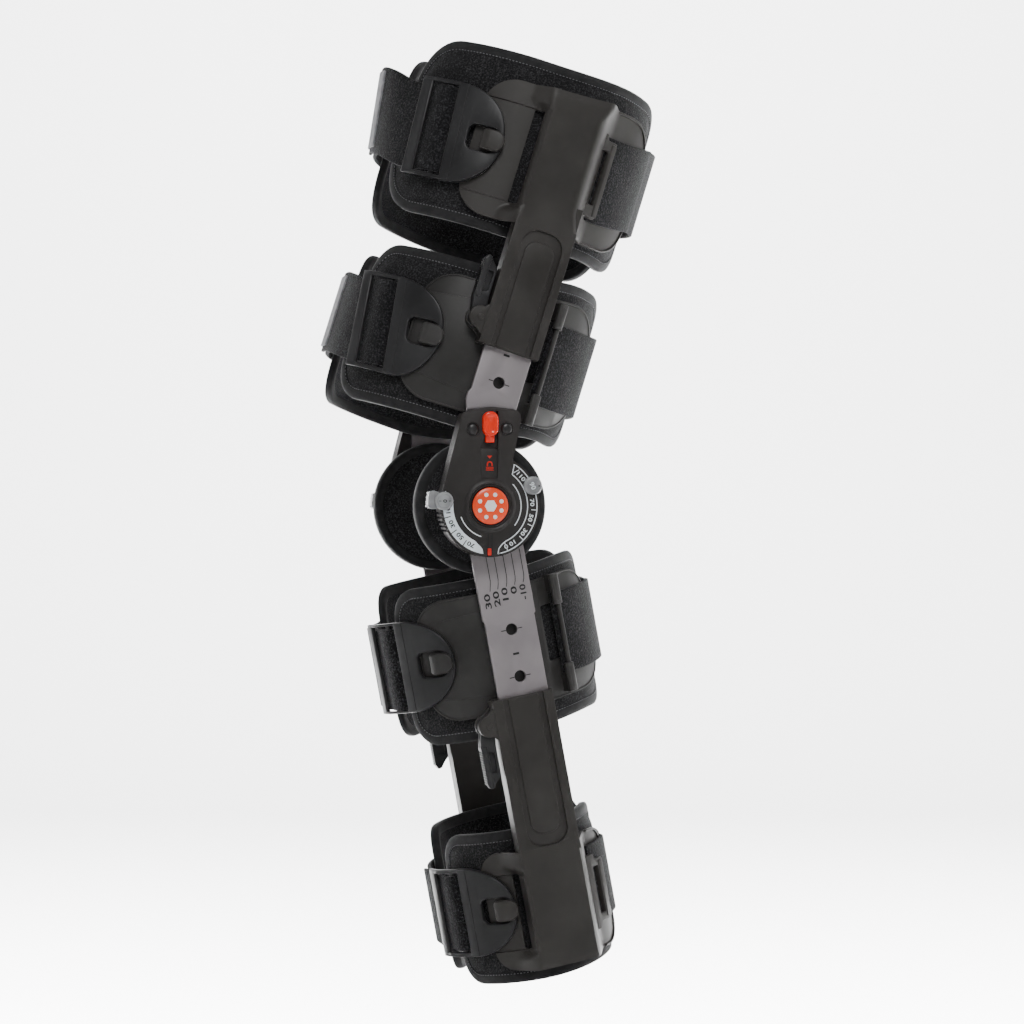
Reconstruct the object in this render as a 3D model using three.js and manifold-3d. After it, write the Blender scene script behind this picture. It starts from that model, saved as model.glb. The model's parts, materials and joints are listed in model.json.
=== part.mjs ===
// Hinged knee brace with telescoping uprights, as it is worn on a leg bent by about 28 degrees.
// Millimetres, +Z up. X runs from the front of the knee (-X) to its back (+X), and Y from the outer
// side (-Y) to the inner side (+Y). The origin is the knee's axis, midway between the two hinges.
import * as THREE from "three";
import { mergeVertices } from "three/addons/utils/BufferGeometryUtils.js";
import Module from "manifold-3d";

const wasm = await Module();
wasm.setup();

// Angles in degrees, and the height above the knee where the upper bar leans back
const THIGH_TILT = 17.5;
const CALF_TILT = 10.7;
const BEND_HEIGHT = 57.5;

// Clearances, and how deep a raised piece is sunk into what it grows from
const GAP = 0.3;
const SEAT_GAP = 0.5;
const SINK = 0.8;
const BAR_PLAY = 0.6;

// A length past every piece, for cutting tools
const FAR = 300;

// How far out from the leg's middle plane each layer lies, on both sides
const CALF_BAR_IN = 62.8;
const BAR_THICK = 2.5;
const THIGH_BAR_RISE = 6.6;
const COVER_WALL = 11.4;
const SLEEVE_WALL_IN = 1.5;
const SLEEVE_WALL_OUT = 5.2;
const PLATE_THICK = 2.5;
const STRAP_THICK = 2.2;
const KNEE_PAD_THICK = 12;
const KNEE_PAD_RADIUS = 39.5;
const KNEE_PAD_EDGE = 4;
const KNEE_PAD_GAP = 2.1;

const CALF_BAR_OUT = CALF_BAR_IN + BAR_THICK;
const HINGE_BAR_IN = CALF_BAR_OUT + 0.5;
const HINGE_BAR_OUT = HINGE_BAR_IN + BAR_THICK;
const THIGH_BAR_IN = HINGE_BAR_OUT + THIGH_BAR_RISE;
const THIGH_BAR_OUT = THIGH_BAR_IN + BAR_THICK;
const COVER_IN = HINGE_BAR_OUT + GAP;
const COVER_OUT = COVER_IN + COVER_WALL;
const BADGE_IN = COVER_OUT + 0.1;
const KNEE_PAD_OUT = CALF_BAR_IN - KNEE_PAD_GAP;

// The bars: middle line beside the tilted axis, width, and where each ends
const THIGH_BAR = { middle: 1.6, width: 29.2, top: 130 };
const CALF_BAR = { middle: 3.1, width: 30.4, bottom: -200 };
const BAR_CORNER = 3;
const HOLE_RADIUS = 3.4;
const THIGH_HOLES = [14.6];
const CALF_HOLES = [-73.6, -101.4];
const HINGE_DISC_RADIUS = 23;
const PIN_RADIUS = 4;
const PIN_PLAY = 0.4;
const PIN_HEAD = { radius: 8.8, thick: 1.1 };

// The upper bar's neck, from the hinge to the step outward, and the lower bar's slightly wider root
const NECK = {
  front: -12.5, back: 13.5, top: 44, stepLow: 44.5, stepHigh: 56, slope: 1.2, shoulder: 4, lip: 1.2,
};
const CALF_ROOT = { end: -66, lip: 0.8 };

// The four padded levels. Each is an ellipse round the leg: half its depth from front to back, half its
// width, and its middle beside the tilted axis. Places along the ellipse are lengths from the outermost
// point, positive towards the back, and heights are lengths along the tilted axis.
const LEVELS = {
  thigh_top: { frame: "thigh", depth: 77, width: 70, middle: -13 },
  thigh_mid: { frame: "thigh", depth: 74, width: 70, middle: -9 },
  calf_mid: { frame: "calf", depth: 63, width: 57.6, middle: 2 },
  calf_low: { frame: "calf", depth: 49.5, width: 57.6, middle: -4 },
};

const PADS = {
  thigh_top: { front: -98, back: 104, low: 97.5, high: 204, lift: 4, thick: 7, corner: 32, backCorner: 34 },
  thigh_mid: { front: -95, back: 99, low: -16.5, high: 78.6, lift: 9, thick: 7, corner: 24, backCorner: 29 },
  calf_mid: { front: -73, back: 86, low: -135, high: -41, lift: 4, thick: 6.5, corner: 20, backCorner: 24 },
  calf_low: { front: -69, back: 80, low: -280.5, high: -190, lift: 2, thick: 8, corner: 18, backCorner: 22 },
};

const PAD_EDGE = 1.6;

const PLATES = {
  thigh_top: { front: -40.5, back: 79, low: 105, high: 187.5, lift: 5, corner: 19, backCorner: 26 },
  thigh_mid: { front: -46.5, back: 77, low: -7.5, high: 68.5, lift: 7.5, corner: 21, backCorner: 30 },
  calf_mid: { front: -53.5, back: 72, low: -121.5, high: -50, lift: 3.5, corner: 20, backCorner: 28 },
  calf_low: { front: -34.5, back: 55, low: -272, high: -201.5, lift: 0.5, corner: 13, backCorner: 15 },
};

// Straps: middle height where they leave the buckle or the back loop, how far they rise on the way round,
// and how far they stand off the pads at the very front and at the very back
const STRAPS = {
  thigh_top: {
    width: 51.5, frontMid: 147.5, frontRise: 9, backMid: 148.5, backRise: 12, bulge: 5, backBulge: 5,
  },
  thigh_mid: {
    width: 49.5, frontMid: 29.6, frontRise: 4, backMid: 35, backRise: 6, bulge: 0, backBulge: 0,
  },
  calf_mid: {
    width: 48, frontMid: -86, frontRise: 1, backMid: -82, backRise: 2, bulge: 0, backBulge: 0,
  },
  calf_low: {
    width: 45, frontMid: -235, frontRise: 1, backMid: -232, backRise: 1, bulge: 0, backBulge: 0,
  },
};

// Buckles: middle height, place of the peg, window from front to back, and the nose of the D
const BUCKLES = {
  thigh_top: {
    mid: 147.5, peg: -30, nose: -22.5, windowBack: -53, windowFront: -69, front: -76.5, half: 29.5,
    slant: -0.07,
  },
  thigh_mid: {
    mid: 29.6, peg: -34, nose: -27, windowBack: -56.5, windowFront: -74, front: -81, half: 28.6, slant: -0.14,
  },
  calf_mid: {
    mid: -86, peg: -41, nose: -32, windowBack: -65, windowFront: -82, front: -88, half: 27, slant: 0,
  },
  calf_low: {
    mid: -235, peg: -24, nose: -17, windowBack: -48, windowFront: -65, front: -71, half: 26.5, slant: 0,
  },
};

// The buckle's D: how round it is, its smallest half height, and the steps its sides climb to the grip
const BUCKLE_BOW = { facets: 5, power: 2.2, least: 5 };
const BUCKLE_CLIMB = [[0, 0], [-7, 0.3]];

// Rails that hold the back strap on the two middle plates, and loops on the two shells
const RAIL_WIRE = { half: 1.2, thick: 2.6, chamfer: 0.7 };
const RAIL_CLIP = { front: 3.2, back: 2.2, thick: 3.4 };
const RAIL_WINDOW = { front: 9, back: 1.8 };
const STRAP_ROOM = PLATE_THICK + SEAT_GAP + STRAP_THICK + 1;
const STRAP_SIDE_PLAY = 0.9;
const RAILS = {
  thigh_mid: { at: 34.5, low: -2.5, high: 71.5, clipLow: 17, clipHigh: 55 },
  calf_mid: { at: 31.5, low: -117, high: -47, clipLow: -99, clipHigh: -66 },
};
const LOOPS = {
  thigh_top: {
    front: 31.8, bar: 36.6, back: 40.8, low: 121.5, high: 175, windowLow: 132, windowHigh: 165,
  },
  calf_low: {
    front: 29, bar: 33.5, back: 38.5, low: -257.5, high: -214.5, windowLow: -250, windowHigh: -222,
  },
};

// Sleeves that the bars slide in, their latches and the raised spine of each shell
const SLEEVES = {
  thigh: {
    mouth: 33, end: 112, shellEnd: 187.5, front: -18.2, back: 18.8, channelEnd: 143, sign: 1,
    panelEnd: 72.3, grooveEnd: 66,
  },
  calf: {
    mouth: -112, end: -196, shellEnd: -272, front: -17.6, back: 19.4, channelEnd: -231, sign: -1,
    panelEnd: 89, grooveEnd: 82,
  },
};
const LATCH = { pinU: -21.3, pinFromMouth: 14, lobe: 6.6, pin: 1.9, reach: 35.5, outer: -28.5, inner: -19 };
const EAR = { thick: 2.6, setBack: 0.3, fillet: 1.5, root: 2 };
const LEVER = {
  play: 0.5, ridges: 2, ridgeStart: 3, ridgePitch: 4.2, ridgeDeep: 0.9, gripLong: 24, neckIn: 2.2,
  tipIn: 1.6, backIn: 0.4, cornerIn: 5, cornerLong: 4.2,
};
const LEVER_WINDOW = { rim: 2.6, from: 9, frontTo: 21, backTo: 19, deep: 2 };

// The arched recess in each sleeve's face and the groove inside it: sides, depth, and the sleeve's length
// from its mouth to where each ends
const RECESS_START = 14;
const PANEL = { front: -11.2, back: 13.6, corner: 11, deep: 0.9, until: "panelEnd" };
const GROOVE = { front: -7.8, back: 10.2, corner: 8, deep: 1.7, until: "grooveEnd" };

// The shells: rib round the wings behind the spine, and the slot in front of it
const RIB = { wide: 2.2, rise: 1.2, from: 26 };
const SLOTS = {
  thigh_top: { front: -24.8, back: -19.6, fromLow: 12, fromHigh: 14 },
  calf_low: { front: -22.4, back: -18.9, fromLow: 12, fromHigh: 14 },
};
const SPINE = { edge: 1, sleeveTaper: 12, backTaper: 1.8, backCorner: 4.3, frontCorner: 4, frontFlare: 1 };
const LOOP = { thick: 2.6, root: 10, rootEnd: 3, frame: 8 };

// Dial cover and what sits on it
const COVER_RADIUS = 29.5;
const BOSS_RADIUS = 14;
const BADGE_RADIUS = 10.6;
const BADGE_THICK = 1.3;
const BOSS_RISE = 0.8;
const RIVETS = [[-10.3, 44.1], [9.7, 44.5]];
const RIVET_RADIUS = 3.4;
const RIVET_RISE = 1.4;
const POINTER = { front: -1.9, back: 0.7, outer: 28.6, inner: 15, rise: 0.9 };
const SLIDER_SLOT = { front: -5.8, back: 5.3, low: 15.6, high: 54.9, corner: 2.5, deep: 1.6 };
const SLIDER = { front: -4.8, back: 4.3, low: 40, high: 54.3, corner: 3.4, rise: 3.4 };
const SLIDER_STEM = { front: -2.6, back: 2.2, low: 36.4, rise: 0.6 };
const STOP_RADIUS = COVER_RADIUS - 1.8;
const STOP_BUTTON = 5.4;
const STOP_RISE = 2.2;
const STOP_RIM = { gap: 0.5, wide: 2.1, spread: 8 };
const STOP_KNOB = { gap: 1.5, wide: 5.5, spread: 9 };
const FLEXION_STOP_ANGLE = 115;
const EXTENSION_STOP_ANGLE = -95.8;

// The dial cover's neck: angles where its sides leave the disc, then its shoulders, corners and crown
const COVER_NECK = {
  backRoot: 152.7, backShoulder: [18.4, 49.5], backCorner: [18.2, 54.6], backCrown: [13, 55.2],
  crown: [-1, 57], frontCrown: [-11, 54.6], frontCorner: [-15, 53.6], frontShoulder: [-16.6, 50.5],
  frontRoot: -111.5,
};

// Room inside the cover's neck for the bar: beside it at the bottom, beside it at the top, below and above
const BAR_WAY = { side: 2.5, backSide: 5.5, frontSide: 4.5, below: 14, above: 26 };

// Facets flatter than this are merged
const FACET_TOLERANCE = 0.06;

// Solids from geometry, and back
function toSolid(geometry) {
  const plain = geometry.clone();
  plain.deleteAttribute("normal");
  plain.deleteAttribute("uv");
  const merged = mergeVertices(plain, 1e-5);
  return new wasm.Manifold(new wasm.Mesh({
    numProp: 3,
    vertProperties: new Float32Array(merged.attributes.position.array),
    triVerts: new Uint32Array(merged.index.array),
  }));
}

function toGeometry(solid) {
  const mesh = solid.simplify(FACET_TOLERANCE).getMesh();
  const geometry = new THREE.BufferGeometry();
  const stride = mesh.numProp;
  const positions = new Float32Array((mesh.vertProperties.length / stride) * 3);
  for (let i = 0; i < positions.length / 3; i += 1) {
    for (let k = 0; k < 3; k += 1) positions[i * 3 + k] = mesh.vertProperties[i * stride + k];
  }
  geometry.setAttribute("position", new THREE.BufferAttribute(positions, 3));
  geometry.setIndex(Array.from(mesh.triVerts));
  geometry.computeVertexNormals();
  return geometry;
}

const join = (first, ...others) => others.reduce((sum, other) => sum.add(other), first);
const cut = (first, ...others) => others.reduce((rest, other) => rest.subtract(other), first);

// A flat outline, drawn as the outer side is seen, made into a slab between two depths
function slab(shape, inner, outer, curveSegments = 8) {
  const geometry = new THREE.ExtrudeGeometry(shape, {
    depth: outer - inner,
    bevelEnabled: false,
    curveSegments,
  });
  geometry.rotateX(Math.PI / 2);
  geometry.translate(0, -inner, 0);
  return toSolid(geometry);
}

function bevelledSlab(shape, inner, outer, bevel, curveSegments = 8) {
  const geometry = new THREE.ExtrudeGeometry(shape, {
    depth: outer - inner - 2 * bevel,
    bevelEnabled: true,
    bevelThickness: bevel,
    bevelSize: bevel,
    bevelOffset: -bevel,
    bevelSegments: 1,
    curveSegments,
  });
  geometry.rotateX(Math.PI / 2);
  geometry.translate(0, -inner - bevel, 0);
  return toSolid(geometry);
}

function polygon(points) {
  return new THREE.Shape(points.map(([x, z]) => new THREE.Vector2(x, z)));
}

function circle(x, z, radius) {
  const shape = new THREE.Shape();
  shape.absarc(x, z, radius, 0, 2 * Math.PI, false);
  return shape;
}

function roundedRectangle(x0, z0, x1, z1, radius) {
  const shape = new THREE.Shape();
  shape.absarc(x1 - radius, z1 - radius, radius, 0, Math.PI / 2, false);
  shape.absarc(x0 + radius, z1 - radius, radius, Math.PI / 2, Math.PI, false);
  shape.absarc(x0 + radius, z0 + radius, radius, Math.PI, 1.5 * Math.PI, false);
  shape.absarc(x1 - radius, z0 + radius, radius, 1.5 * Math.PI, 2 * Math.PI, false);
  shape.closePath();
  return shape;
}

// Walking round a level's ellipse by length
const WALK_STEPS = 720;
for (const level of Object.values(LEVELS)) {
  level.walk = [{ angle: 0, length: 0 }];
  const step = (1.5 * Math.PI) / WALK_STEPS;
  let length = 0;
  for (let i = 1; i <= WALK_STEPS; i += 1) {
    const angle = (i - 0.5) * step;
    length += Math.hypot(level.depth * Math.cos(angle), level.width * Math.sin(angle)) * step;
    level.walk.push({ angle: i * step, length });
  }
  level.quarter = level.walk[WALK_STEPS / 3].length;
}

function angleAt(level, length) {
  const target = Math.abs(length);
  const index = level.walk.findIndex((entry) => entry.length >= target);
  const after = level.walk[Math.max(1, index)];
  const before = level.walk[Math.max(1, index) - 1];
  const share = (target - before.length) / (after.length - before.length);
  return Math.sign(length) * (before.angle + share * (after.angle - before.angle));
}

// A point at a length round the ellipse, a distance out from it, and a height
function onLevel(level, length, out, height) {
  const angle = angleAt(level, length);
  const sine = Math.sin(angle);
  const cosine = Math.cos(angle);
  const scale = 1 / Math.hypot(sine / level.depth, cosine / level.width);
  return [
    level.middle + level.depth * sine + (out * scale * sine) / level.depth,
    -level.width * cosine - (out * scale * cosine) / level.width,
    height,
  ];
}

// A band that follows a level. Each station has an inner and an outer point, given as length round the
// ellipse and distance out, and a low and a high edge. Its outer edges may be chamfered.
function band(level, stations, chamfer, shift = () => [0, 0]) {
  const sections = stations.map(({ inner, outer, low, high }) => {
    const thick = Math.hypot(outer[0] - inner[0], outer[1] - inner[1]);
    const share = Math.min(0.45, chamfer / thick);
    const far = [outer[0] - share * (outer[0] - inner[0]), outer[1] - share * (outer[1] - inner[1])];
    const plain = [[inner, low], [outer, low], [outer, high], [inner, high]];
    const eased = [
      [inner, low], [far, low], [outer, low + chamfer], [outer, high - chamfer], [far, high], [inner, high],
    ];
    return (chamfer > 0 ? eased : plain).map(([[length, out], height]) => {
      const [along, up] = shift(length, height);
      return onLevel(level, length + along, out, height + up);
    });
  });
  return loft(sections);
}

function loft(sections) {
  const size = sections[0].length;
  const positions = sections.flat(2);
  const index = [];
  for (let i = 0; i + 1 < sections.length; i += 1) {
    for (let k = 0; k < size; k += 1) {
      const a = i * size + k;
      const b = i * size + ((k + 1) % size);
      index.push(a, b, b + size, a, b + size, a + size);
    }
  }
  const last = (sections.length - 1) * size;
  for (let k = 1; k + 1 < size; k += 1) {
    index.push(0, k + 1, k);
    index.push(last, last + k, last + k + 1);
  }
  let volume = 0;
  const corner = (i) => new THREE.Vector3(...positions.slice(i * 3, i * 3 + 3));
  for (let i = 0; i < index.length; i += 3) {
    volume += corner(index[i]).dot(corner(index[i + 1]).cross(corner(index[i + 2])));
  }
  if (volume < 0) index.reverse();
  const geometry = new THREE.BufferGeometry();
  geometry.setAttribute("position", new THREE.Float32BufferAttribute(positions, 3));
  geometry.setIndex(index);
  return toSolid(geometry);
}

// Stations that all bands share, so that layers of cloth and plate follow the same flats
const STATION = 15;

function sharedLengths(start, end) {
  const lengths = [start];
  for (let i = Math.ceil((start + 2) / STATION); i * STATION < end - 2; i += 1) lengths.push(i * STATION);
  lengths.push(end);
  return lengths;
}

// Lengths between two ends, close together in the round corners and wider between them
function stationLengths({ front, back, corner, backCorner }) {
  const turns = [0, 26, 56].map((degrees) => 1 - Math.cos((degrees * Math.PI) / 180));
  return [
    ...turns.map((t) => front + corner * t),
    ...sharedLengths(front + corner, back - backCorner),
    ...turns.map((t) => back - backCorner * t).reverse(),
  ];
}

// How far an edge draws in within the round corner at either end
function cornerInset(length, { front, back, corner, backCorner }) {
  const inset = (fromEnd, radius) => (
    fromEnd < radius ? radius - Math.sqrt(radius ** 2 - (radius - fromEnd) ** 2) : 0
  );
  return Math.max(inset(length - front, corner), inset(back - length, backCorner));
}

// Where an edge that rises towards the back starts to rise, and over how long
const LIFT = { from: -10, run: 70 };

const smooth = (t) => {
  const clamped = Math.min(1, Math.max(0, t));
  return clamped * clamped * (3 - 2 * clamped);
};

// A plate or pad with round corners between two distances out from the level
function roundedBand(level, size, innerOut, outerOut, chamfer) {
  const lengths = stationLengths(size);
  const stations = lengths.map((length) => {
    const inset = cornerInset(length, size);
    const rise = size.lift * smooth((length - LIFT.from) / LIFT.run);
    return {
      inner: [length, innerOut],
      outer: [length, outerOut],
      low: size.low + inset + rise,
      high: size.high - inset + rise,
    };
  });
  return band(level, stations, chamfer);
}

// A plain block that follows a level, for cuts and small bars
function patch(level, front, back, innerOut, outerOut, low, high, chamfer = 0, shift = undefined) {
  const stations = sharedLengths(front, back).map((length) => (
    { inner: [length, innerOut], outer: [length, outerOut], low, high }
  ));
  return band(level, stations, chamfer, shift);
}

// What lies inside a level, to seat a straight piece on its curved face
function levelCore(level, out) {
  const shape = new THREE.Shape();
  shape.absellipse(level.middle, 0, level.depth + out, level.width + out, 0, 2 * Math.PI, false);
  const geometry = new THREE.ExtrudeGeometry(shape, {
    depth: 2 * FAR,
    bevelEnabled: false,
    curveSegments: 12,
  });
  geometry.translate(0, 0, -FAR);
  return toSolid(geometry);
}

const PLATE_OUT = SEAT_GAP + PLATE_THICK;
const SLEEVE_OUT = {
  thigh: THIGH_BAR_OUT + GAP + SLEEVE_WALL_OUT,
  calf: CALF_BAR_OUT + GAP + SLEEVE_WALL_OUT,
};
const SLEEVE_CHANNEL = {
  thigh: [THIGH_BAR_IN - GAP, THIGH_BAR_OUT + GAP],
  calf: [CALF_BAR_IN - GAP, CALF_BAR_OUT + GAP],
};

// The hollow that the upper bar's step presses in the pad behind it
const PRESSED = { side: 2.2, flare: 2, high: 4 };

// Pads of plush foam. The one above the knee is pressed in where the bar steps inward to the hinge.
function pad(name) {
  const whole = roundedBand(LEVELS[name], PADS[name], -PADS[name].thick, 0, PAD_EDGE);
  if (name !== "thigh_mid") return whole;
  const front = THIGH_BAR.middle - THIGH_BAR.width / 2 - PRESSED.side;
  const back = THIGH_BAR.middle + THIGH_BAR.width / 2 + PRESSED.side;
  const pressed = polygon([
    [front - PRESSED.flare, -FAR], [back + 2 * PRESSED.flare, -FAR],
    [back, PRESSED.high], [front, PRESSED.high],
  ]);
  return cut(whole, slab(pressed, HINGE_BAR_IN - SEAT_GAP, FAR));
}

// The peg that a buckle hooks on: a short stem with a wider head
const PEG = { stemLong: 6, stemHigh: 6, headLong: 12, headHigh: 11, headThick: 2.4, headShift: 2 };
const BUCKLE_IN = PLATE_OUT + 2 * GAP;
const BUCKLE_THICK = 3;
const BUCKLE_OUT = BUCKLE_IN + BUCKLE_THICK;

function peg(level, at, mid) {
  const headIn = BUCKLE_OUT + 2 * GAP;
  const stem = patch(level, at - PEG.stemLong / 2, at + PEG.stemLong / 2, SEAT_GAP + SINK, headIn + SINK,
    mid - PEG.stemHigh / 2, mid + PEG.stemHigh / 2);
  const middle = at + PEG.headShift;
  const head = patch(level, middle - PEG.headLong / 2, middle + PEG.headLong / 2, headIn,
    headIn + PEG.headThick, mid - PEG.headHigh / 2, mid + PEG.headHigh / 2);
  return join(stem, head);
}

// How far in and out from a level the window cuts reach
const CUT_DEEP = 14;

// Raised seats behind the bars, and the notch where the upper bar steps inward
const BAR_SEATS = {
  thigh_mid: { half: 9, low: 8, high: 23 },
  calf_mid: { half: 9, low: -80, high: -58 },
};
const BAR_NOTCH = { side: 1.5, high: 6 };

// A middle plate, with two wings, a notch where the bar comes past, and the rail for the back strap
function middlePlate(name, hooked) {
  const level = LEVELS[name];
  const size = PLATES[name];
  const rail = RAILS[name];
  const buckle = BUCKLES[name];
  const window = patch(level, rail.at - RAIL_WINDOW.front, rail.at + RAIL_WINDOW.back, -CUT_DEEP, CUT_DEEP,
    rail.clipLow, rail.clipHigh);
  const sheet = cut(roundedBand(level, size, SEAT_GAP, PLATE_OUT, 0), window);
  const wire = patch(level, rail.at - RAIL_WIRE.half, rail.at + RAIL_WIRE.half,
    STRAP_ROOM, STRAP_ROOM + RAIL_WIRE.thick, rail.low, rail.high, RAIL_WIRE.chamfer);
  const clips = [[rail.low, rail.clipLow - 1], [rail.clipHigh + 1, rail.high]].map(([low, high]) => (
    patch(level, rail.at - RAIL_CLIP.front, rail.at + RAIL_CLIP.back,
      STRAP_ROOM - 0.2, STRAP_ROOM - 0.2 + RAIL_CLIP.thick, low, high)
  ));
  const strapLow = STRAPS[name].backMid - STRAPS[name].width / 2 - STRAP_SIDE_PLAY;
  const strapHigh = STRAPS[name].backMid + STRAPS[name].width / 2 + STRAP_SIDE_PLAY;
  const feet = [[rail.low, strapLow], [strapHigh, rail.high]].map(([low, high]) => (
    patch(level, rail.at - RAIL_CLIP.front + GAP, rail.at + RAIL_WINDOW.back,
      SEAT_GAP + SINK, STRAP_ROOM + SINK, low, high)
  ));
  const plate = join(sheet, wire, ...clips, ...feet, ...(hooked ? [peg(level, buckle.peg, buckle.mid)] : []));
  const thigh = level.frame === "thigh";
  const bar = thigh ? THIGH_BAR : CALF_BAR;
  const barIn = thigh ? THIGH_BAR_IN : CALF_BAR_IN;
  const { half, low: seatLow, high: seatHigh } = BAR_SEATS[name];
  const seat = polygon([
    [bar.middle - half, seatLow], [bar.middle + half, seatLow],
    [bar.middle + half, seatHigh], [bar.middle - half, seatHigh],
  ]);
  const seated = join(plate, cut(slab(seat, 0, barIn - GAP), levelCore(level, SEAT_GAP + 1)));
  if (!thigh) return seated;
  const barFront = bar.middle - bar.width / 2 - BAR_NOTCH.side;
  const barBack = bar.middle + bar.width / 2 + BAR_NOTCH.side;
  const notch = polygon([
    [barFront, -FAR], [barBack, -FAR], [barBack, BAR_NOTCH.high], [barFront, BAR_NOTCH.high],
  ]);
  return cut(seated, slab(notch, 0, FAR));
}

// A shell: wings, raised spine, sleeve with its channel and recessed panel, latch ears, peg and strap loop
function shell(name, hooked) {
  const level = LEVELS[name];
  const size = PLATES[name];
  const sleeve = SLEEVES[level.frame];
  const loop = LOOPS[name];
  const buckle = BUCKLES[name];
  const [channelIn, channelOut] = SLEEVE_CHANNEL[level.frame];
  const face = SLEEVE_OUT[level.frame];
  const { sign } = sleeve;
  const strapMid = STRAPS[name].backMid;
  const strapHalf = STRAPS[name].width / 2 + STRAP_SIDE_PLAY + GAP;
  const wings = roundedBand(level, size, SEAT_GAP, PLATE_OUT, 0);
  const ribs = cut(
    roundedBand(level, size, SEAT_GAP + SINK, PLATE_OUT + RIB.rise, 0),
    roundedBand(level, {
      ...size,
      front: size.front + RIB.wide, back: size.back - RIB.wide,
      low: size.low + RIB.wide, high: size.high - RIB.wide,
    }, -CUT_DEEP / 2, CUT_DEEP, 0),
    patch(level, size.front - CUT_DEEP, RIB.from, -CUT_DEEP / 2, CUT_DEEP,
      size.low - CUT_DEEP, size.high + CUT_DEEP),
    patch(level, RIB.from, size.back + CUT_DEEP, PLATE_OUT - 0.5, CUT_DEEP,
      strapMid - strapHalf, strapMid + strapHalf, 0, backShift(name)),
  );

  const flare = sleeve.front - SPINE.frontFlare;
  const outline = polygon([
    [sleeve.front, sleeve.mouth], [sleeve.back, sleeve.mouth],
    [sleeve.back, sleeve.end - SPINE.sleeveTaper * sign],
    [sleeve.back - SPINE.backTaper, sleeve.shellEnd - (SPINE.backCorner / 2) * sign],
    [sleeve.back - SPINE.backCorner, sleeve.shellEnd],
    [flare + SPINE.frontCorner, sleeve.shellEnd], [flare, sleeve.shellEnd - SPINE.frontCorner * sign],
    [flare, sleeve.end - SPINE.frontCorner * sign], [sleeve.front, sleeve.end - SPINE.sleeveTaper * sign],
  ]);
  const body = bevelledSlab(outline, channelIn - SLEEVE_WALL_IN, face, SPINE.edge);
  const skirtFrom = sleeve.end - SPINE.frontCorner * sign;
  const skirtTo = sleeve.shellEnd - SPINE.edge * sign;
  const skirt = cut(
    slab(polygon([
      [flare - SPINE.edge, skirtFrom], [sleeve.back + SPINE.edge, skirtFrom],
      [sleeve.back, skirtTo], [flare, skirtTo],
    ]), 0, channelIn),
    levelCore(level, SEAT_GAP + 0.2),
  );
  const bar = level.frame === "thigh" ? THIGH_BAR : CALF_BAR;
  const channel = slab(polygon([
    [bar.middle - bar.width / 2 - BAR_PLAY, sleeve.mouth - 5 * sign],
    [bar.middle + bar.width / 2 + BAR_PLAY, sleeve.mouth - 5 * sign],
    [bar.middle + bar.width / 2 + BAR_PLAY, sleeve.channelEnd],
    [bar.middle - bar.width / 2 - BAR_PLAY, sleeve.channelEnd],
  ]), channelIn, channelOut);

  const recesses = [PANEL, GROOVE].map(({ front, back, corner, deep, until }) => {
    const start = sleeve.mouth - RECESS_START * sign;
    const ends = [start, sleeve.mouth + sleeve[until] * sign].sort((a, b) => a - b);
    return slab(roundedRectangle(front, ends[0], back, ends[1], corner), face - deep, FAR, 1);
  });

  const pinZ = sleeve.mouth + LATCH.pinFromMouth * sign;
  const ear = (inner, outer) => slab(polygon([
    ...Array.from({ length: 4 }, (_, i) => {
      const angle = Math.PI / 2 + (i * Math.PI) / 3;
      return [LATCH.pinU + LATCH.lobe * Math.cos(angle), pinZ + LATCH.lobe * Math.sin(angle)];
    }),
    [sleeve.front + EAR.root, pinZ - LATCH.lobe - EAR.fillet],
    [sleeve.front + EAR.root, pinZ + LATCH.lobe + EAR.fillet],
  ]), inner, outer);
  const ears = [
    ear(channelIn - SLEEVE_WALL_IN, channelIn + LEVER.play),
    ear(face - EAR.thick, face - EAR.setBack),
  ];

  const loopFrame = patch(level, loop.front - LOOP.frame, loop.back, STRAP_ROOM, STRAP_ROOM + LOOP.thick,
    loop.low, loop.high);
  const loopRoots = patch(level, loop.front - LOOP.root, loop.front - LOOP.rootEnd, SEAT_GAP + SINK,
    STRAP_ROOM + LOOP.thick / 2, loop.low, loop.high);
  const loopWindow = patch(level, loop.front, loop.bar, -CUT_DEEP, 2 * CUT_DEEP,
    loop.windowLow, loop.windowHigh);
  const strapWay = patch(level, loop.front - LOOP.rootEnd + GAP, loop.bar + 5 * GAP, -CUT_DEEP, STRAP_ROOM,
    strapMid - strapHalf, strapMid + strapHalf);

  const opening = SLOTS[name];
  const slotLow = size.low + opening.fromLow;
  const slotHigh = size.high - opening.fromHigh;
  const frontSlot = slab(polygon([
    [opening.front, slotLow], [opening.back, slotLow], [opening.back, slotHigh], [opening.front, slotHigh],
  ]), 0, FAR);

  const pocket = slab(circle(LATCH.pinU, pinZ, LATCH.lobe - GAP),
    channelIn + LEVER.play, face - EAR.thick, 5);
  const blank = join(wings, ribs, body, skirt, ...ears, loopFrame, loopRoots);
  const open = cut(blank, channel, ...recesses, loopWindow, strapWay, frontSlot, pocket);
  const pin = slab(circle(LATCH.pinU, pinZ, LATCH.pin), channelIn - SLEEVE_WALL_IN / 2, face - 0.1, 3);
  return hooked ? join(open, pin, peg(level, buckle.peg, buckle.mid)) : join(open, pin);
}

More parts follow.
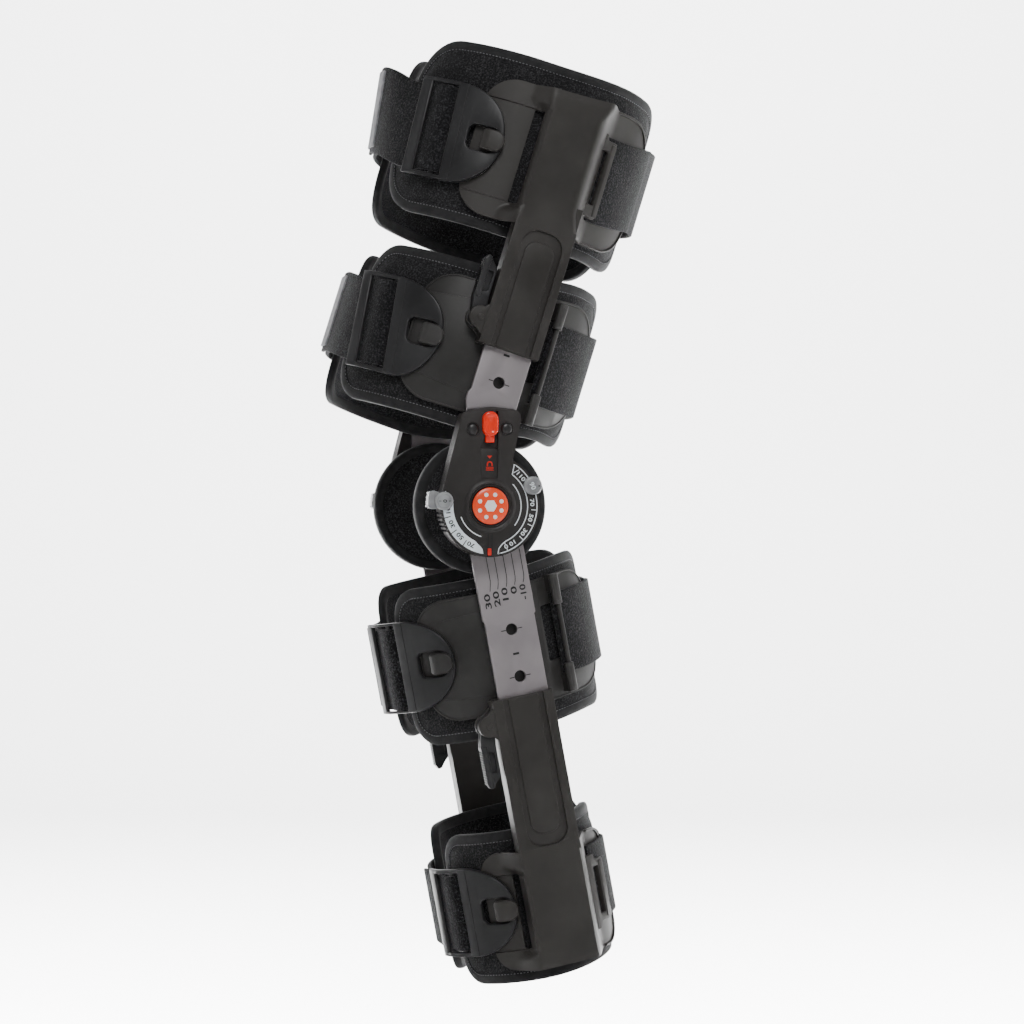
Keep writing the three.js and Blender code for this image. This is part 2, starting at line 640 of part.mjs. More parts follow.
// The latch lever of a sleeve
function lever(frame) {
  const sleeve = SLEEVES[frame];
  const { sign } = sleeve;
  const [channelIn] = SLEEVE_CHANNEL[frame];
  const face = SLEEVE_OUT[frame];
  const pinZ = sleeve.mouth + LATCH.pinFromMouth * sign;
  const inner = channelIn + LEVER.play + GAP;
  const outer = face - EAR.thick - GAP;
  const lobe = slab(circle(LATCH.pinU, pinZ, LATCH.lobe - LEVER.play - GAP), inner, outer, 5);
  const tip = pinZ + LATCH.reach * sign;
  const ridges = Array.from({ length: LEVER.ridges }, (_, i) => i).flatMap((i) => {
    const z = tip - (LEVER.ridgeStart + i * LEVER.ridgePitch) * sign;
    return [
      [LATCH.outer + LEVER.ridgeDeep, z], [LATCH.outer, z - LEVER.ridgeDeep * sign],
      [LATCH.outer, z - 2 * LEVER.ridgeDeep * sign],
    ];
  });
  const back = LATCH.inner - LEVER.backIn;
  const arm = polygon([
    [LATCH.outer + LEVER.tipIn, tip], ...ridges,
    [LATCH.outer, tip - LEVER.gripLong * sign], [LATCH.outer + LEVER.neckIn, pinZ - LATCH.pin * sign],
    [LATCH.pinU, pinZ - (LATCH.lobe / 2) * sign], [LATCH.pinU + LATCH.lobe / 2, pinZ + LATCH.pin * sign],
    [back, pinZ + 2 * LATCH.lobe * sign], [back, tip - LEVER.cornerLong * sign],
    [back - LEVER.cornerIn / 2, tip - LEVER.cornerLong * sign],
    [back - LEVER.cornerIn, tip - (LEVER.cornerLong / 2) * sign], [back - LEVER.cornerIn, tip],
  ]);
  const window = polygon([
    [LATCH.outer + LEVER_WINDOW.rim, tip - LEVER_WINDOW.from * sign],
    [LATCH.outer + LEVER_WINDOW.rim, tip - LEVER_WINDOW.frontTo * sign],
    [LATCH.inner - LEVER_WINDOW.rim, tip - LEVER_WINDOW.backTo * sign],
    [LATCH.inner - LEVER_WINDOW.rim, tip - LEVER_WINDOW.from * sign],
  ]);
  const hole = slab(circle(LATCH.pinU, pinZ, LATCH.pin + PIN_PLAY), 0, FAR, 4);
  return cut(join(lobe, slab(arm, inner, outer)), slab(window, outer - LEVER_WINDOW.deep, FAR), hole);
}

// The upper bar: a disc at the hinge, a neck that steps outward under the cover, and the straight bar
function thighBar() {
  const tilt = (THIGH_TILT * Math.PI) / 180;
  const place = ([u, v]) => [
    u * Math.cos(tilt) + v * Math.sin(tilt),
    BEND_HEIGHT - u * Math.sin(tilt) + v * Math.cos(tilt),
  ];
  const left = THIGH_BAR.middle - THIGH_BAR.width / 2;
  const right = THIGH_BAR.middle + THIGH_BAR.width / 2;
  const outline = polygon([
    [NECK.front, 0], [NECK.back, 0], [NECK.back, NECK.top], place([right, NECK.shoulder / 2]),
    place([right, THIGH_BAR.top - BAR_CORNER]), place([right - BAR_CORNER, THIGH_BAR.top]),
    place([left + BAR_CORNER, THIGH_BAR.top]), place([left, THIGH_BAR.top - BAR_CORNER]),
    place([left, NECK.shoulder + BAR_CORNER]), place([left - NECK.lip, NECK.shoulder]),
    place([left - NECK.lip, 0]), [NECK.front, NECK.top],
  ]);
  const flat = join(slab(circle(0, 0, HINGE_DISC_RADIUS), 0, FAR, 6), slab(outline, 0, FAR));
  const profile = new THREE.Shape([
    [HINGE_BAR_IN, -FAR], [HINGE_BAR_IN, NECK.stepLow], [THIGH_BAR_IN, NECK.stepHigh], [THIGH_BAR_IN, FAR],
    [THIGH_BAR_OUT, FAR], [THIGH_BAR_OUT, NECK.stepHigh + NECK.slope],
    [HINGE_BAR_OUT, NECK.stepLow + NECK.slope], [HINGE_BAR_OUT, -FAR],
  ].map(([w, z]) => new THREE.Vector2(-w, z)));
  const holes = THIGH_HOLES.map((v) => slab(circle(...place([THIGH_BAR.middle, v]), HOLE_RADIUS), 0, FAR, 4));
  return cut(flat.intersect(sideSweep(profile)), ...holes, pinHole());
}

const pinHole = () => slab(circle(0, 0, PIN_RADIUS + PIN_PLAY), 0, FAR, 5);

// A side profile, drawn as depth and height, swept from front to back
function sideSweep(profile) {
  const geometry = new THREE.ExtrudeGeometry(profile, { depth: 2 * FAR, bevelEnabled: false });
  geometry.rotateX(Math.PI / 2);
  geometry.rotateZ(Math.PI / 2);
  geometry.translate(-FAR, 0, 0);
  return toSolid(geometry);
}

function calfBar() {
  const left = CALF_BAR.middle - CALF_BAR.width / 2;
  const right = CALF_BAR.middle + CALF_BAR.width / 2;
  const outline = polygon([
    [left - CALF_ROOT.lip, 0], [right + CALF_ROOT.lip, 0],
    [right + CALF_ROOT.lip, CALF_ROOT.end], [right, CALF_ROOT.end - CALF_ROOT.lip],
    [right, CALF_BAR.bottom + BAR_CORNER], [right - BAR_CORNER, CALF_BAR.bottom],
    [left + BAR_CORNER, CALF_BAR.bottom], [left, CALF_BAR.bottom + BAR_CORNER],
    [left, CALF_ROOT.end - CALF_ROOT.lip], [left - CALF_ROOT.lip, CALF_ROOT.end],
  ]);
  const holes = CALF_HOLES.map((v) => slab(circle(CALF_BAR.middle, v, HOLE_RADIUS), 0, FAR, 4));
  const flat = join(slab(circle(0, 0, HINGE_DISC_RADIUS), CALF_BAR_IN, CALF_BAR_OUT, 6),
    slab(outline, CALF_BAR_IN, CALF_BAR_OUT));
  return cut(flat, ...holes, pinHole());
}

const polar = (radius, angle) => {
  const turn = (angle * Math.PI) / 180;
  return [radius * Math.sin(turn), -radius * Math.cos(turn)];
};

// The dial cover, with its slider slot, rivets, boss and pointer, and the pivot pin through both bars
function dialCover() {
  const outline = new THREE.Shape();
  outline.moveTo(...polar(COVER_RADIUS, COVER_NECK.backRoot));
  outline.lineTo(...COVER_NECK.backShoulder);
  outline.quadraticCurveTo(...COVER_NECK.backCorner, ...COVER_NECK.backCrown);
  outline.quadraticCurveTo(...COVER_NECK.crown, ...COVER_NECK.frontCrown);
  outline.quadraticCurveTo(...COVER_NECK.frontCorner, ...COVER_NECK.frontShoulder);
  outline.lineTo(...polar(COVER_RADIUS, COVER_NECK.frontRoot));
  outline.lineTo(0, 0);
  outline.closePath();
  const neck = slab(outline, COVER_IN, COVER_OUT, 3);
  const disc = slab(circle(0, 0, COVER_RADIUS), COVER_IN, COVER_OUT, 11);
  const boss = slab(circle(0, 0, BOSS_RADIUS), COVER_OUT - SINK, COVER_OUT + BOSS_RISE, 7);
  const well = slab(circle(0, 0, BADGE_RADIUS + GAP), BADGE_IN - GAP, FAR, 7);
  const pointer = slab(polygon([
    [POINTER.front, -POINTER.outer], [POINTER.back, -POINTER.outer],
    [POINTER.back, -POINTER.inner], [POINTER.front, -POINTER.inner],
  ]), COVER_OUT - SINK, COVER_OUT + POINTER.rise);
  const rivets = RIVETS.map(([x, z]) => {
    const dome = new THREE.LatheGeometry([
      [0, -SINK], [RIVET_RADIUS, -SINK], [RIVET_RADIUS, 0.3], [RIVET_RADIUS / 2, RIVET_RISE], [0, RIVET_RISE],
    ].map(([r, h]) => new THREE.Vector2(r, h)), 8);
    dome.rotateX(Math.PI);
    dome.translate(x, -COVER_OUT, z);
    return toSolid(dome);
  });
  const slot = slab(roundedRectangle(
    SLIDER_SLOT.front, SLIDER_SLOT.low, SLIDER_SLOT.back, SLIDER_SLOT.high, SLIDER_SLOT.corner,
  ), COVER_OUT - SLIDER_SLOT.deep, FAR, 1);
  const step = new THREE.Shape([
    [0, NECK.stepLow - NECK.slope], [HINGE_BAR_OUT + GAP, NECK.stepLow - NECK.slope],
    [THIGH_BAR_OUT + GAP, NECK.stepHigh - NECK.slope - SEAT_GAP], [THIGH_BAR_OUT + GAP, FAR], [0, FAR],
  ].map(([w, z]) => new THREE.Vector2(-w, z)));
  const barWay = polygon([
    [NECK.front - BAR_WAY.side, NECK.top - BAR_WAY.below],
    [NECK.back + BAR_WAY.side, NECK.top - BAR_WAY.below],
    [NECK.back + BAR_WAY.backSide, NECK.top + BAR_WAY.above],
    [NECK.front - BAR_WAY.frontSide, NECK.top + BAR_WAY.above],
  ]);
  const room = slab(barWay, 0, THIGH_BAR_OUT + GAP).intersect(sideSweep(step));
  const pin = slab(circle(0, 0, PIN_RADIUS), CALF_BAR_IN - GAP - SINK, COVER_IN + SINK, 5);
  const head = slab(circle(0, 0, PIN_HEAD.radius), CALF_BAR_IN - GAP - PIN_HEAD.thick, CALF_BAR_IN - GAP, 5);
  return cut(join(neck, disc, boss, pointer, ...rivets, pin, head), well, slot, room);
}

function badge() {
  const profile = [
    [0, 0], [BADGE_RADIUS, 0], [BADGE_RADIUS, BADGE_THICK / 2],
    [BADGE_RADIUS * 0.8, BADGE_THICK], [0, BADGE_THICK],
  ].map(([r, h]) => new THREE.Vector2(r, h));
  const dome = new THREE.LatheGeometry(profile, 14);
  dome.rotateX(Math.PI);
  dome.rotateY(Math.PI);
  dome.translate(0, -BADGE_IN, 0);
  return toSolid(dome);
}

function lockSlider() {
  const floor = COVER_OUT - SLIDER_SLOT.deep + GAP;
  const knob = bevelledSlab(
    roundedRectangle(SLIDER.front, SLIDER.low, SLIDER.back, SLIDER.high, SLIDER.corner),
    floor, COVER_OUT + SLIDER.rise, 0.9, 1,
  );
  const stem = slab(polygon([
    [SLIDER_STEM.front, SLIDER_STEM.low], [SLIDER_STEM.back, SLIDER_STEM.low],
    [SLIDER_STEM.back, SLIDER.low + SLIDER.corner], [SLIDER_STEM.front, SLIDER.low + SLIDER.corner],
  ]), floor, COVER_OUT + SLIDER_STEM.rise);
  return join(knob, stem);
}

// A range stop: a button on the dial's face, a claw over its rim and, on one of the two, a knob to pull
function rangeStop(angle, knobbed) {
  const face = COVER_OUT + GAP;
  const button = slab(circle(...polar(STOP_RADIUS, angle), STOP_BUTTON), face, face + STOP_RISE, 6);
  const wedge = ({ gap, wide, spread }) => polygon([
    polar(COVER_RADIUS + gap, angle - spread), polar(COVER_RADIUS + gap + wide, angle - spread),
    polar(COVER_RADIUS + gap + wide, angle), polar(COVER_RADIUS + gap + wide, angle + spread),
    polar(COVER_RADIUS + gap, angle + spread), polar(COVER_RADIUS + gap, angle),
  ]);
  const rim = slab(wedge(STOP_RIM), COVER_IN + COVER_WALL / 4, face + STOP_RISE * 0.6);
  const knob = slab(wedge(STOP_KNOB), COVER_IN + COVER_WALL / 3, face - 2 * GAP);
  return knobbed ? join(button, rim, knob) : join(button, rim);
}

function kneePad() {
  const radius = KNEE_PAD_RADIUS;
  const inner = KNEE_PAD_OUT - KNEE_PAD_THICK;
  const profile = [
    [0, inner], [radius - KNEE_PAD_EDGE, inner], [radius, inner + KNEE_PAD_EDGE],
    [radius, KNEE_PAD_OUT - KNEE_PAD_EDGE], [radius - KNEE_PAD_EDGE, KNEE_PAD_OUT], [0, KNEE_PAD_OUT],
  ].map(([r, w]) => new THREE.Vector2(r, w));
  const disc = new THREE.LatheGeometry(profile, 20);
  disc.rotateX(Math.PI);
  return toSolid(disc);
}

// Heights of the straps rise on their way round
function frontShift(name) {
  const { frontRise, frontMid } = STRAPS[name];
  const { slant, front } = BUCKLES[name];
  const quarter = LEVELS[name].quarter;
  return (length, height) => {
    const share = smooth((front - length) / (quarter + front));
    return [slant * (height - frontMid) * (1 - share), frontRise * share];
  };
}

// How far a strap stands off at a length, from nothing at the buckle's front to its most at the very front
function standOff(name, length) {
  const { quarter } = LEVELS[name];
  const from = -BUCKLES[name].front;
  const near = Math.min(-length, 2 * quarter + length);
  return STRAPS[name].bulge * smooth((near - from) / (quarter - from));
}

// A strip of strap along a path of length and distance out, with the same thickness all along
function strip(level, path, thick, mid, width, shift) {
  const stations = path.map(([length, out], i) => {
    const before = path[Math.max(0, i - 1)];
    const after = path[Math.min(path.length - 1, i + 1)];
    const dx = after[0] - before[0];
    const dy = after[1] - before[1];
    const size = Math.hypot(dx, dy);
    const side = [-dy / size, dx / size];
    return {
      inner: [length - (side[0] * thick) / 2, out - (side[1] * thick) / 2],
      outer: [length + (side[0] * thick) / 2, out + (side[1] * thick) / 2],
      low: mid - width / 2,
      high: mid + width / 2,
    };
  });
  return band(level, stations, 0, shift);
}

// The front strap: from the inner side round the front, under the buckle's grip, round its inner bar
// and back on itself, ending near the front in a hook tab
const LAYER_IN = 1.1 + STRAP_THICK / 2;
const LAYER_OUT = 1.6 + STRAP_THICK * 1.5;
const BACK_LAYER = 0.6 + STRAP_THICK / 2;
const INNER_BAR = { long: 4, thick: 2.4 };
const TURN_SET_IN = 4.8;
const TURN_PLAY = 0.4;
const TURN_FACETS = 5;
const STEP_LONG = 6;
const TAB_PAST_FRONT = 8;
const TAB = { long: 14, thick: 1, inset: 3 };

function frontStrapPath(name) {
  const { quarter } = LEVELS[name];
  const { windowBack, windowFront } = BUCKLES[name];
  const turnAt = windowBack - TURN_SET_IN;
  const turnRadius = (INNER_BAR.thick + STRAP_THICK) / 2 + TURN_PLAY;
  const turnOut = LAYER_IN + turnRadius;
  const far = -(2 * quarter - medialEnd(name));
  const wingEdge = -2 * quarter - PLATES[name].front;
  const path = [
    ...sharedLengths(far, wingEdge + 1).map((length) => [length, LAYER_IN + PLATE_OUT]),
    ...sharedLengths(wingEdge + 1 + STEP_LONG, turnAt).map((length) => [length, LAYER_IN]),
  ];
  for (let i = 1; i <= TURN_FACETS; i += 1) {
    const angle = -Math.PI / 2 + (i * Math.PI) / TURN_FACETS;
    path.push([turnAt + turnRadius * Math.cos(angle), turnOut + turnRadius * Math.sin(angle)]);
  }
  path.push([turnAt - 5, turnOut + turnRadius - 0.2]);
  path.push([windowFront + 1.5, LAYER_OUT + 0.5]);
  const folded = sharedLengths(-quarter - TAB_PAST_FRONT, windowFront - 2).reverse();
  const whole = [...path, ...folded.map((length) => [length, LAYER_OUT])];
  return whole.map(([length, out]) => [length, out + standOff(name, length)]);
}

// Where the front strap ends on the inner side, as a length from that side's outermost point
function medialEnd(name) {
  return -(PLATES[name].front + 12);
}

function frontStrap(name) {
  const { frontMid, width } = STRAPS[name];
  return strip(LEVELS[name], frontStrapPath(name), STRAP_THICK, frontMid, width, frontShift(name));
}

const backHold = (name) => (RAILS[name] ? RAILS[name].at - 3 : LOOPS[name].front + 0.8);

function backShift(name) {
  const { quarter } = LEVELS[name];
  const hold = backHold(name);
  return (length) => {
    const near = Math.min(length, 2 * quarter - length);
    return [0, STRAPS[name].backRise * smooth((near - hold) / (quarter - hold))];
  };
}

function backStrap(name) {
  const level = LEVELS[name];
  const size = PLATES[name];
  const { backMid, width } = STRAPS[name];
  const hold = backHold(name);
  const half = 2 * level.quarter;
  const onPlate = sharedLengths(hold, size.back + 1).map((length) => [length, BACK_LAYER + PLATE_OUT]);
  const free = size.back + 2 + STEP_LONG;
  const behind = sharedLengths(free, half - free).map((length) => {
    const near = Math.min(length, half - length);
    const share = smooth((near - free) / (level.quarter - free));
    return [length, BACK_LAYER + STRAPS[name].backBulge * share];
  });
  const path = [...onPlate, ...behind, ...onPlate.map(([length, out]) => [half - length, out]).reverse()];
  return strip(level, path, STRAP_THICK, backMid, width, backShift(name));
}

// The grey hook tab at the folded end of the two upper straps
function strapTab(name) {
  const { frontMid, width } = STRAPS[name];
  const { quarter } = LEVELS[name];
  const out = LAYER_OUT + STRAP_THICK / 2 + GAP + STRAPS[name].bulge;
  const start = -quarter - TAB_PAST_FRONT;
  return patch(LEVELS[name], start, start + TAB.long, out, out + TAB.thick,
    frontMid - width / 2 + TAB.inset, frontMid + width / 2 - TAB.inset, 0, frontShift(name));
}

// A D-shaped buckle: frame round a window, grip at the front, inner bar for the strap and a hole for the peg
function buckle(name) {
  const level = LEVELS[name];
  const { mid, peg: pegAt, nose, windowBack, windowFront, front, half, slant } = BUCKLES[name];
  const shear = (length, height) => [slant * (height - mid) * smooth((-length - 25) / 25), 0];
  const gripIn = LAYER_OUT + STRAP_THICK / 2 + SEAT_GAP;
  const gripOut = gripIn + INNER_BAR.thick;
  const windowHalf = STRAPS[name].width / 2 + STRAP_SIDE_PLAY + SEAT_GAP;
  const bow = windowBack + 2;
  const stations = Array.from({ length: BUCKLE_BOW.facets + 1 }, (_, i) => {
    const share = Math.sin((i * Math.PI) / (2 * BUCKLE_BOW.facets));
    const length = bow + (nose - bow) * share;
    const reach = Math.max(BUCKLE_BOW.least, half * Math.sqrt(Math.max(0, 1 - share ** BUCKLE_BOW.power)));
    return { inner: [length, BUCKLE_IN], outer: [length, BUCKLE_OUT], low: mid - reach, high: mid + reach };
  });
  stations.unshift({
    inner: [windowBack, BUCKLE_IN], outer: [windowBack, BUCKLE_OUT], low: mid - half, high: mid + half,
  });
  const plate = band(level, stations, 0, shear);
  const climb = BUCKLE_CLIMB.map(([along, share]) => [windowBack + 1 + along, share]);
  const rimPath = [...climb, [windowFront + 2, 0.9], [front + 1, 1]];
  const rims = [-1, 1].map((side) => {
    const edges = [mid + side * half, mid + side * windowHalf].sort((a, b) => a - b);
    return band(level, rimPath.map(([length, share]) => ({
      inner: [length, BUCKLE_IN + share * (gripIn - BUCKLE_IN)],
      outer: [length, BUCKLE_OUT + share * (gripOut - BUCKLE_OUT)],
      low: edges[0],
      high: edges[1],
    })), 0, shear);
  });
  const grip = band(level, [front, (front + windowFront) / 2, windowFront].map((length) => ({
    inner: [length, gripIn], outer: [length, gripOut], low: mid - half, high: mid + half,
  })), 0.6, shear);
  const innerBarIn = LAYER_IN + STRAP_THICK / 2 + TURN_PLAY;
  const turnAt = windowBack - TURN_SET_IN;
  const innerBar = patch(level, turnAt - INNER_BAR.long / 2 - 1, turnAt + 0.8, innerBarIn,
    innerBarIn + INNER_BAR.thick, mid - half + 0.6, mid + half - 0.6, 0, shear);
  const posts = [-1, 1].map((side) => {
    const edges = [mid + side * (half - 0.4), mid + side * windowHalf].sort((a, b) => a - b);
    return patch(level, turnAt - 3, turnAt + 1, innerBarIn, BUCKLE_OUT, edges[0], edges[1], 0, shear);
  });
  const hole = patch(level, pegAt - PEG.stemLong / 2 - 3 * GAP, pegAt + PEG.stemLong / 2 + 2 * GAP,
    -CUT_DEEP, CUT_DEEP, mid - PEG.stemHigh / 2 - 2 * GAP, mid + PEG.stemHigh / 2 + 2 * GAP);
  return cut(join(plate, ...rims, grip, innerBar, ...posts), hole);
}

// Materials, one for each kind of piece
const MATERIALS = {
  foam: { color: 0x1b1b1d, roughness: 0.95, metalness: 0 },
  strap: { color: 0x222223, roughness: 1, metalness: 0 },
  tab: { color: 0x7f7f7f, roughness: 0.9, metalness: 0 },
  shell: { color: 0x444241, roughness: 0.5, metalness: 0 },
  bar: { color: 0x89848a, roughness: 0.35, metalness: 0.8 },
  dial: { color: 0x333130, roughness: 0.45, metalness: 0 },
  buckle: { color: 0x3a3b3d, roughness: 0.45, metalness: 0 },
  slider: { color: 0xff4a14, roughness: 0.4, metalness: 0 },
  badge: { color: 0xf4623a, roughness: 0.3, metalness: 0 },
  stop: { color: 0xa8aaac, roughness: 0.3, metalness: 0 },
};

const brace = new THREE.Group();
const frames = { knee: new THREE.Group(), thigh: new THREE.Group(), calf: new THREE.Group() };
frames.thigh.position.set(0, 0, BEND_HEIGHT);
frames.thigh.rotation.y = (THIGH_TILT * Math.PI) / 180;
frames.calf.rotation.y = (-CALF_TILT * Math.PI) / 180;
brace.add(frames.knee, frames.thigh, frames.calf);

function place(solid, name, material, frame) {
  const mesh = new THREE.Mesh(toGeometry(solid), new THREE.MeshStandardMaterial(MATERIALS[material]));
  mesh.name = name;
  frames[frame].add(mesh);
}

function mirrored(solid) {
  return solid.mirror([0, 1, 0]);
}

function placePair(solid, name, material, frame, innerSolid = solid) {
  place(solid, `${name}_lateral`, material, frame);
  place(mirrored(innerSolid), `${name}_medial`, material, frame);
}

placePair(thighBar(), "thigh_bar", "bar", "knee");
placePair(calfBar(), "calf_bar", "bar", "calf");
placePair(dialCover(), "dial_cover", "dial", "knee");
placePair(badge(), "badge", "badge", "knee");
placePair(lockSlider(), "lock_slider", "slider", "knee");
placePair(rangeStop(FLEXION_STOP_ANGLE, false), "flexion_stop", "stop", "knee");
placePair(rangeStop(EXTENSION_STOP_ANGLE, true), "extension_stop", "stop", "knee");
placePair(kneePad(), "knee_pad", "foam", "knee");
placePair(shell("thigh_top", true), "thigh_shell", "shell", "thigh", shell("thigh_top", false));
placePair(shell("calf_low", true), "calf_shell", "shell", "calf", shell("calf_low", false));
placePair(middlePlate("thigh_mid", true), "thigh_plate", "shell", "thigh", middlePlate("thigh_mid", false));
placePair(middlePlate("calf_mid", true), "calf_plate", "shell", "calf", middlePlate("calf_mid", false));
placePair(lever("thigh"), "thigh_lever", "shell", "thigh");
placePair(lever("calf"), "calf_lever", "shell", "calf");
for (const [name, level] of Object.entries(LEVELS)) {
  placePair(pad(name), `${name}_pad`, "foam", level.frame);
  place(frontStrap(name), `${name}_front_strap`, "strap", level.frame);
  place(backStrap(name), `${name}_back_strap`, "strap", level.frame);
  place(buckle(name), `${name}_buckle`, "buckle", level.frame);
}
place(strapTab("thigh_top"), "thigh_top_strap_tab", "tab", "thigh");
place(strapTab("thigh_mid"), "thigh_mid_strap_tab", "tab", "thigh");

export default brace;
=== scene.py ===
# %% [markdown]
# # Hinged knee brace
# A post-operative knee brace keeps a leg within a safe range of bending. Two flat aluminium bars on each
# side of the leg meet in a dial at the knee, and padded cuffs with wide straps hold them to thigh and calf.
# The CAD model is loaded as a fixed frame. Each piece below takes its place from that frame in millimetres.

# %% Load the frame
import json
import math

import bmesh
import bpy
import numpy as np
from mathutils import Matrix, Vector

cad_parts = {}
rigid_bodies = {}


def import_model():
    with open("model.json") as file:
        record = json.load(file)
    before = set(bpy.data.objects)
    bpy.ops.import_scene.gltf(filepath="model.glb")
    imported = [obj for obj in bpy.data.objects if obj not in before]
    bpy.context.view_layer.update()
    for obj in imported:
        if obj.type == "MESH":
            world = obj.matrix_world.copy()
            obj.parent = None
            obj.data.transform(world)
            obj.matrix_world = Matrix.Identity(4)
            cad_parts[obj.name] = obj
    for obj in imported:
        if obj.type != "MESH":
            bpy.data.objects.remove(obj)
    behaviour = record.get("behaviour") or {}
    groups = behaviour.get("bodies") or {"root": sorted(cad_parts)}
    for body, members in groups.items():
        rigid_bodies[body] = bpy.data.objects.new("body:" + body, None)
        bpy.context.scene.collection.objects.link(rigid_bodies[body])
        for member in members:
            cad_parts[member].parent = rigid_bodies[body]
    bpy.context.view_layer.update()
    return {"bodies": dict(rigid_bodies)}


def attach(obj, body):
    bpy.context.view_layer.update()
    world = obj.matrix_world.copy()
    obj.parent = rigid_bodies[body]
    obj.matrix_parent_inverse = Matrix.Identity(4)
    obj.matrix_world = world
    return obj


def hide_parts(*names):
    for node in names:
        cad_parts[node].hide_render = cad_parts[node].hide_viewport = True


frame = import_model()
MM = 0.001

# %% [markdown]
# ## Camera
# The photograph looks at the outer side from 15 degrees round to the front, level with the knee. The camera
# stands 1.6 m away. Its focal length makes one millimetre at the dial as large as in the photograph.

# %% Camera
CAMERA_PLACE = (-0.402, -1.6287, -0.0035)
CAMERA_TURN = -15
FOCAL_LENGTH = 97.8

camera_data = bpy.data.cameras.new("camera")
camera_data.lens = FOCAL_LENGTH
camera_data.sensor_width = 36
camera = bpy.data.objects.new("camera", camera_data)
camera.location = CAMERA_PLACE
camera.rotation_euler = (math.radians(90), 0, math.radians(CAMERA_TURN))
bpy.context.collection.objects.link(camera)
bpy.context.scene.camera = camera
print("camera at", CAMERA_PLACE)

# %% [markdown]
# ## Studio
# A sheet of pale paper runs level under the brace and curves up behind it, so no corner shows. Broad soft
# lights on both sides draw the long highlights along the edges of dark plastic. One large light behind the
# brace shines on the paper alone and keeps it white. A pale sky fills the rest.

# %% Studio
FLOOR_HEIGHT = -0.36
PAPER_HALF_WIDE, PAPER_FRONT, PAPER_TOP = 5, -4, 4.5
PAPER_BEND_FROM, PAPER_BEND_RADIUS = 1.6, 1.2


def soft_light(name, place, size, power, aim=(0, 0, 0)):
    data = bpy.data.lights.new(name, "AREA")
    data.shape = "RECTANGLE"
    data.size, data.size_y = size
    data.energy = power
    light = bpy.data.objects.new(name, data)
    light.location = place
    light.rotation_euler = (Vector(aim) - Vector(place)).to_track_quat("-Z", "Y").to_euler()
    bpy.context.collection.objects.link(light)
    return light


def linear(hex_colour):
    parts = [int(hex_colour[i:i + 2], 16) / 255 for i in (1, 3, 5)]
    return (*[c / 12.92 if c <= 0.04045 else ((c + 0.055) / 1.055) ** 2.4 for c in parts], 1)


white_paper = bpy.data.materials.new("white_studio_paper")
white_paper.use_nodes = True
white_paper.node_tree.nodes["Principled BSDF"].inputs["Base Color"].default_value = linear("#f6f6f6")
white_paper.node_tree.nodes["Principled BSDF"].inputs["Roughness"].default_value = 0.9
paper_mesh = bmesh.new()
bend = [
    (PAPER_BEND_FROM + PAPER_BEND_RADIUS * math.sin(a), FLOOR_HEIGHT + PAPER_BEND_RADIUS * (1 - math.cos(a)))
    for a in np.linspace(0, math.pi / 2, 12)
]
profile = [(PAPER_FRONT, FLOOR_HEIGHT), *bend, (PAPER_BEND_FROM + PAPER_BEND_RADIUS, PAPER_TOP)]
line = [paper_mesh.verts.new((-PAPER_HALF_WIDE, y, z)) for y, z in profile]
edges = [paper_mesh.edges.new(pair) for pair in zip(line, line[1:])]
grown = bmesh.ops.extrude_edge_only(paper_mesh, edges=edges)
moved = [part for part in grown["geom"] if isinstance(part, bmesh.types.BMVert)]
bmesh.ops.translate(paper_mesh, verts=moved, vec=(2 * PAPER_HALF_WIDE, 0, 0))
facing_camera = Matrix.Rotation(math.radians(CAMERA_TURN), 3, "Z")
bmesh.ops.rotate(paper_mesh, verts=paper_mesh.verts, matrix=facing_camera)
paper_data = bpy.data.meshes.new("studio_paper")
paper_mesh.to_mesh(paper_data)
paper_mesh.free()
for face in paper_data.polygons:
    face.use_smooth = True
paper = bpy.data.objects.new("studio_paper", paper_data)
bpy.context.collection.objects.link(paper)
paper_data.materials.append(white_paper)

soft_light("light_left", (-1.9, -0.1, 0.5), (0.35, 2.2), 5)
soft_light("light_right", (1.7, -0.6, 0.4), (0.35, 2.2), 11)
soft_light("light_front", (-0.2, -2.2, 1.7), (0.9, 0.8), 34)
soft_light("light_paper", (0.05, 0.18, 0.2), (3.2, 2.6), 580, (0.7, 2.6, 0.2))
world = bpy.data.worlds.new("studio_sky")
world.use_nodes = True
world.node_tree.nodes["Background"].inputs["Color"].default_value = linear("#f7f8fa")
world.node_tree.nodes["Background"].inputs["Strength"].default_value = 0.22
bpy.context.scene.world = world

# %% [markdown]
# ## Sizes
# All sizes are in millimetres. Each cuff follows an ellipse round the leg. A place on a cuff is a length
# round the ellipse from its outermost point, positive to the back, and a height along the leaning leg.
# The cuffs' upper and lower edges climb a little towards the back: that is each size's lift.

# %% Sizes of the brace
THIGH_LEAN, CALF_LEAN, BEND_HEIGHT = 17.5, 10.7, 57.5
HINGE_BAR_IN, THIGH_BAR_IN, CALF_BAR_IN, BAR_THICK = 65.8, 74.9, 62.8, 2.5
COVER_IN, COVER_OUT = 68.6, 80.0
FACE = {"thigh": 82.9, "calf": 70.8}
WALL_IN = {"thigh": 73.1, "calf": 61.0}
SEAT, SHEET_THICK, STRAP_THICK = 0.5, 2.5, 2.2
PLATE_OUT = SEAT + SHEET_THICK
STRAP_ROOM = PLATE_OUT + STRAP_THICK + 1
BUCKLE_IN, BUCKLE_OUT = 3.6, 6.6
LIFT_FROM, LIFT_RUN = -10, 70

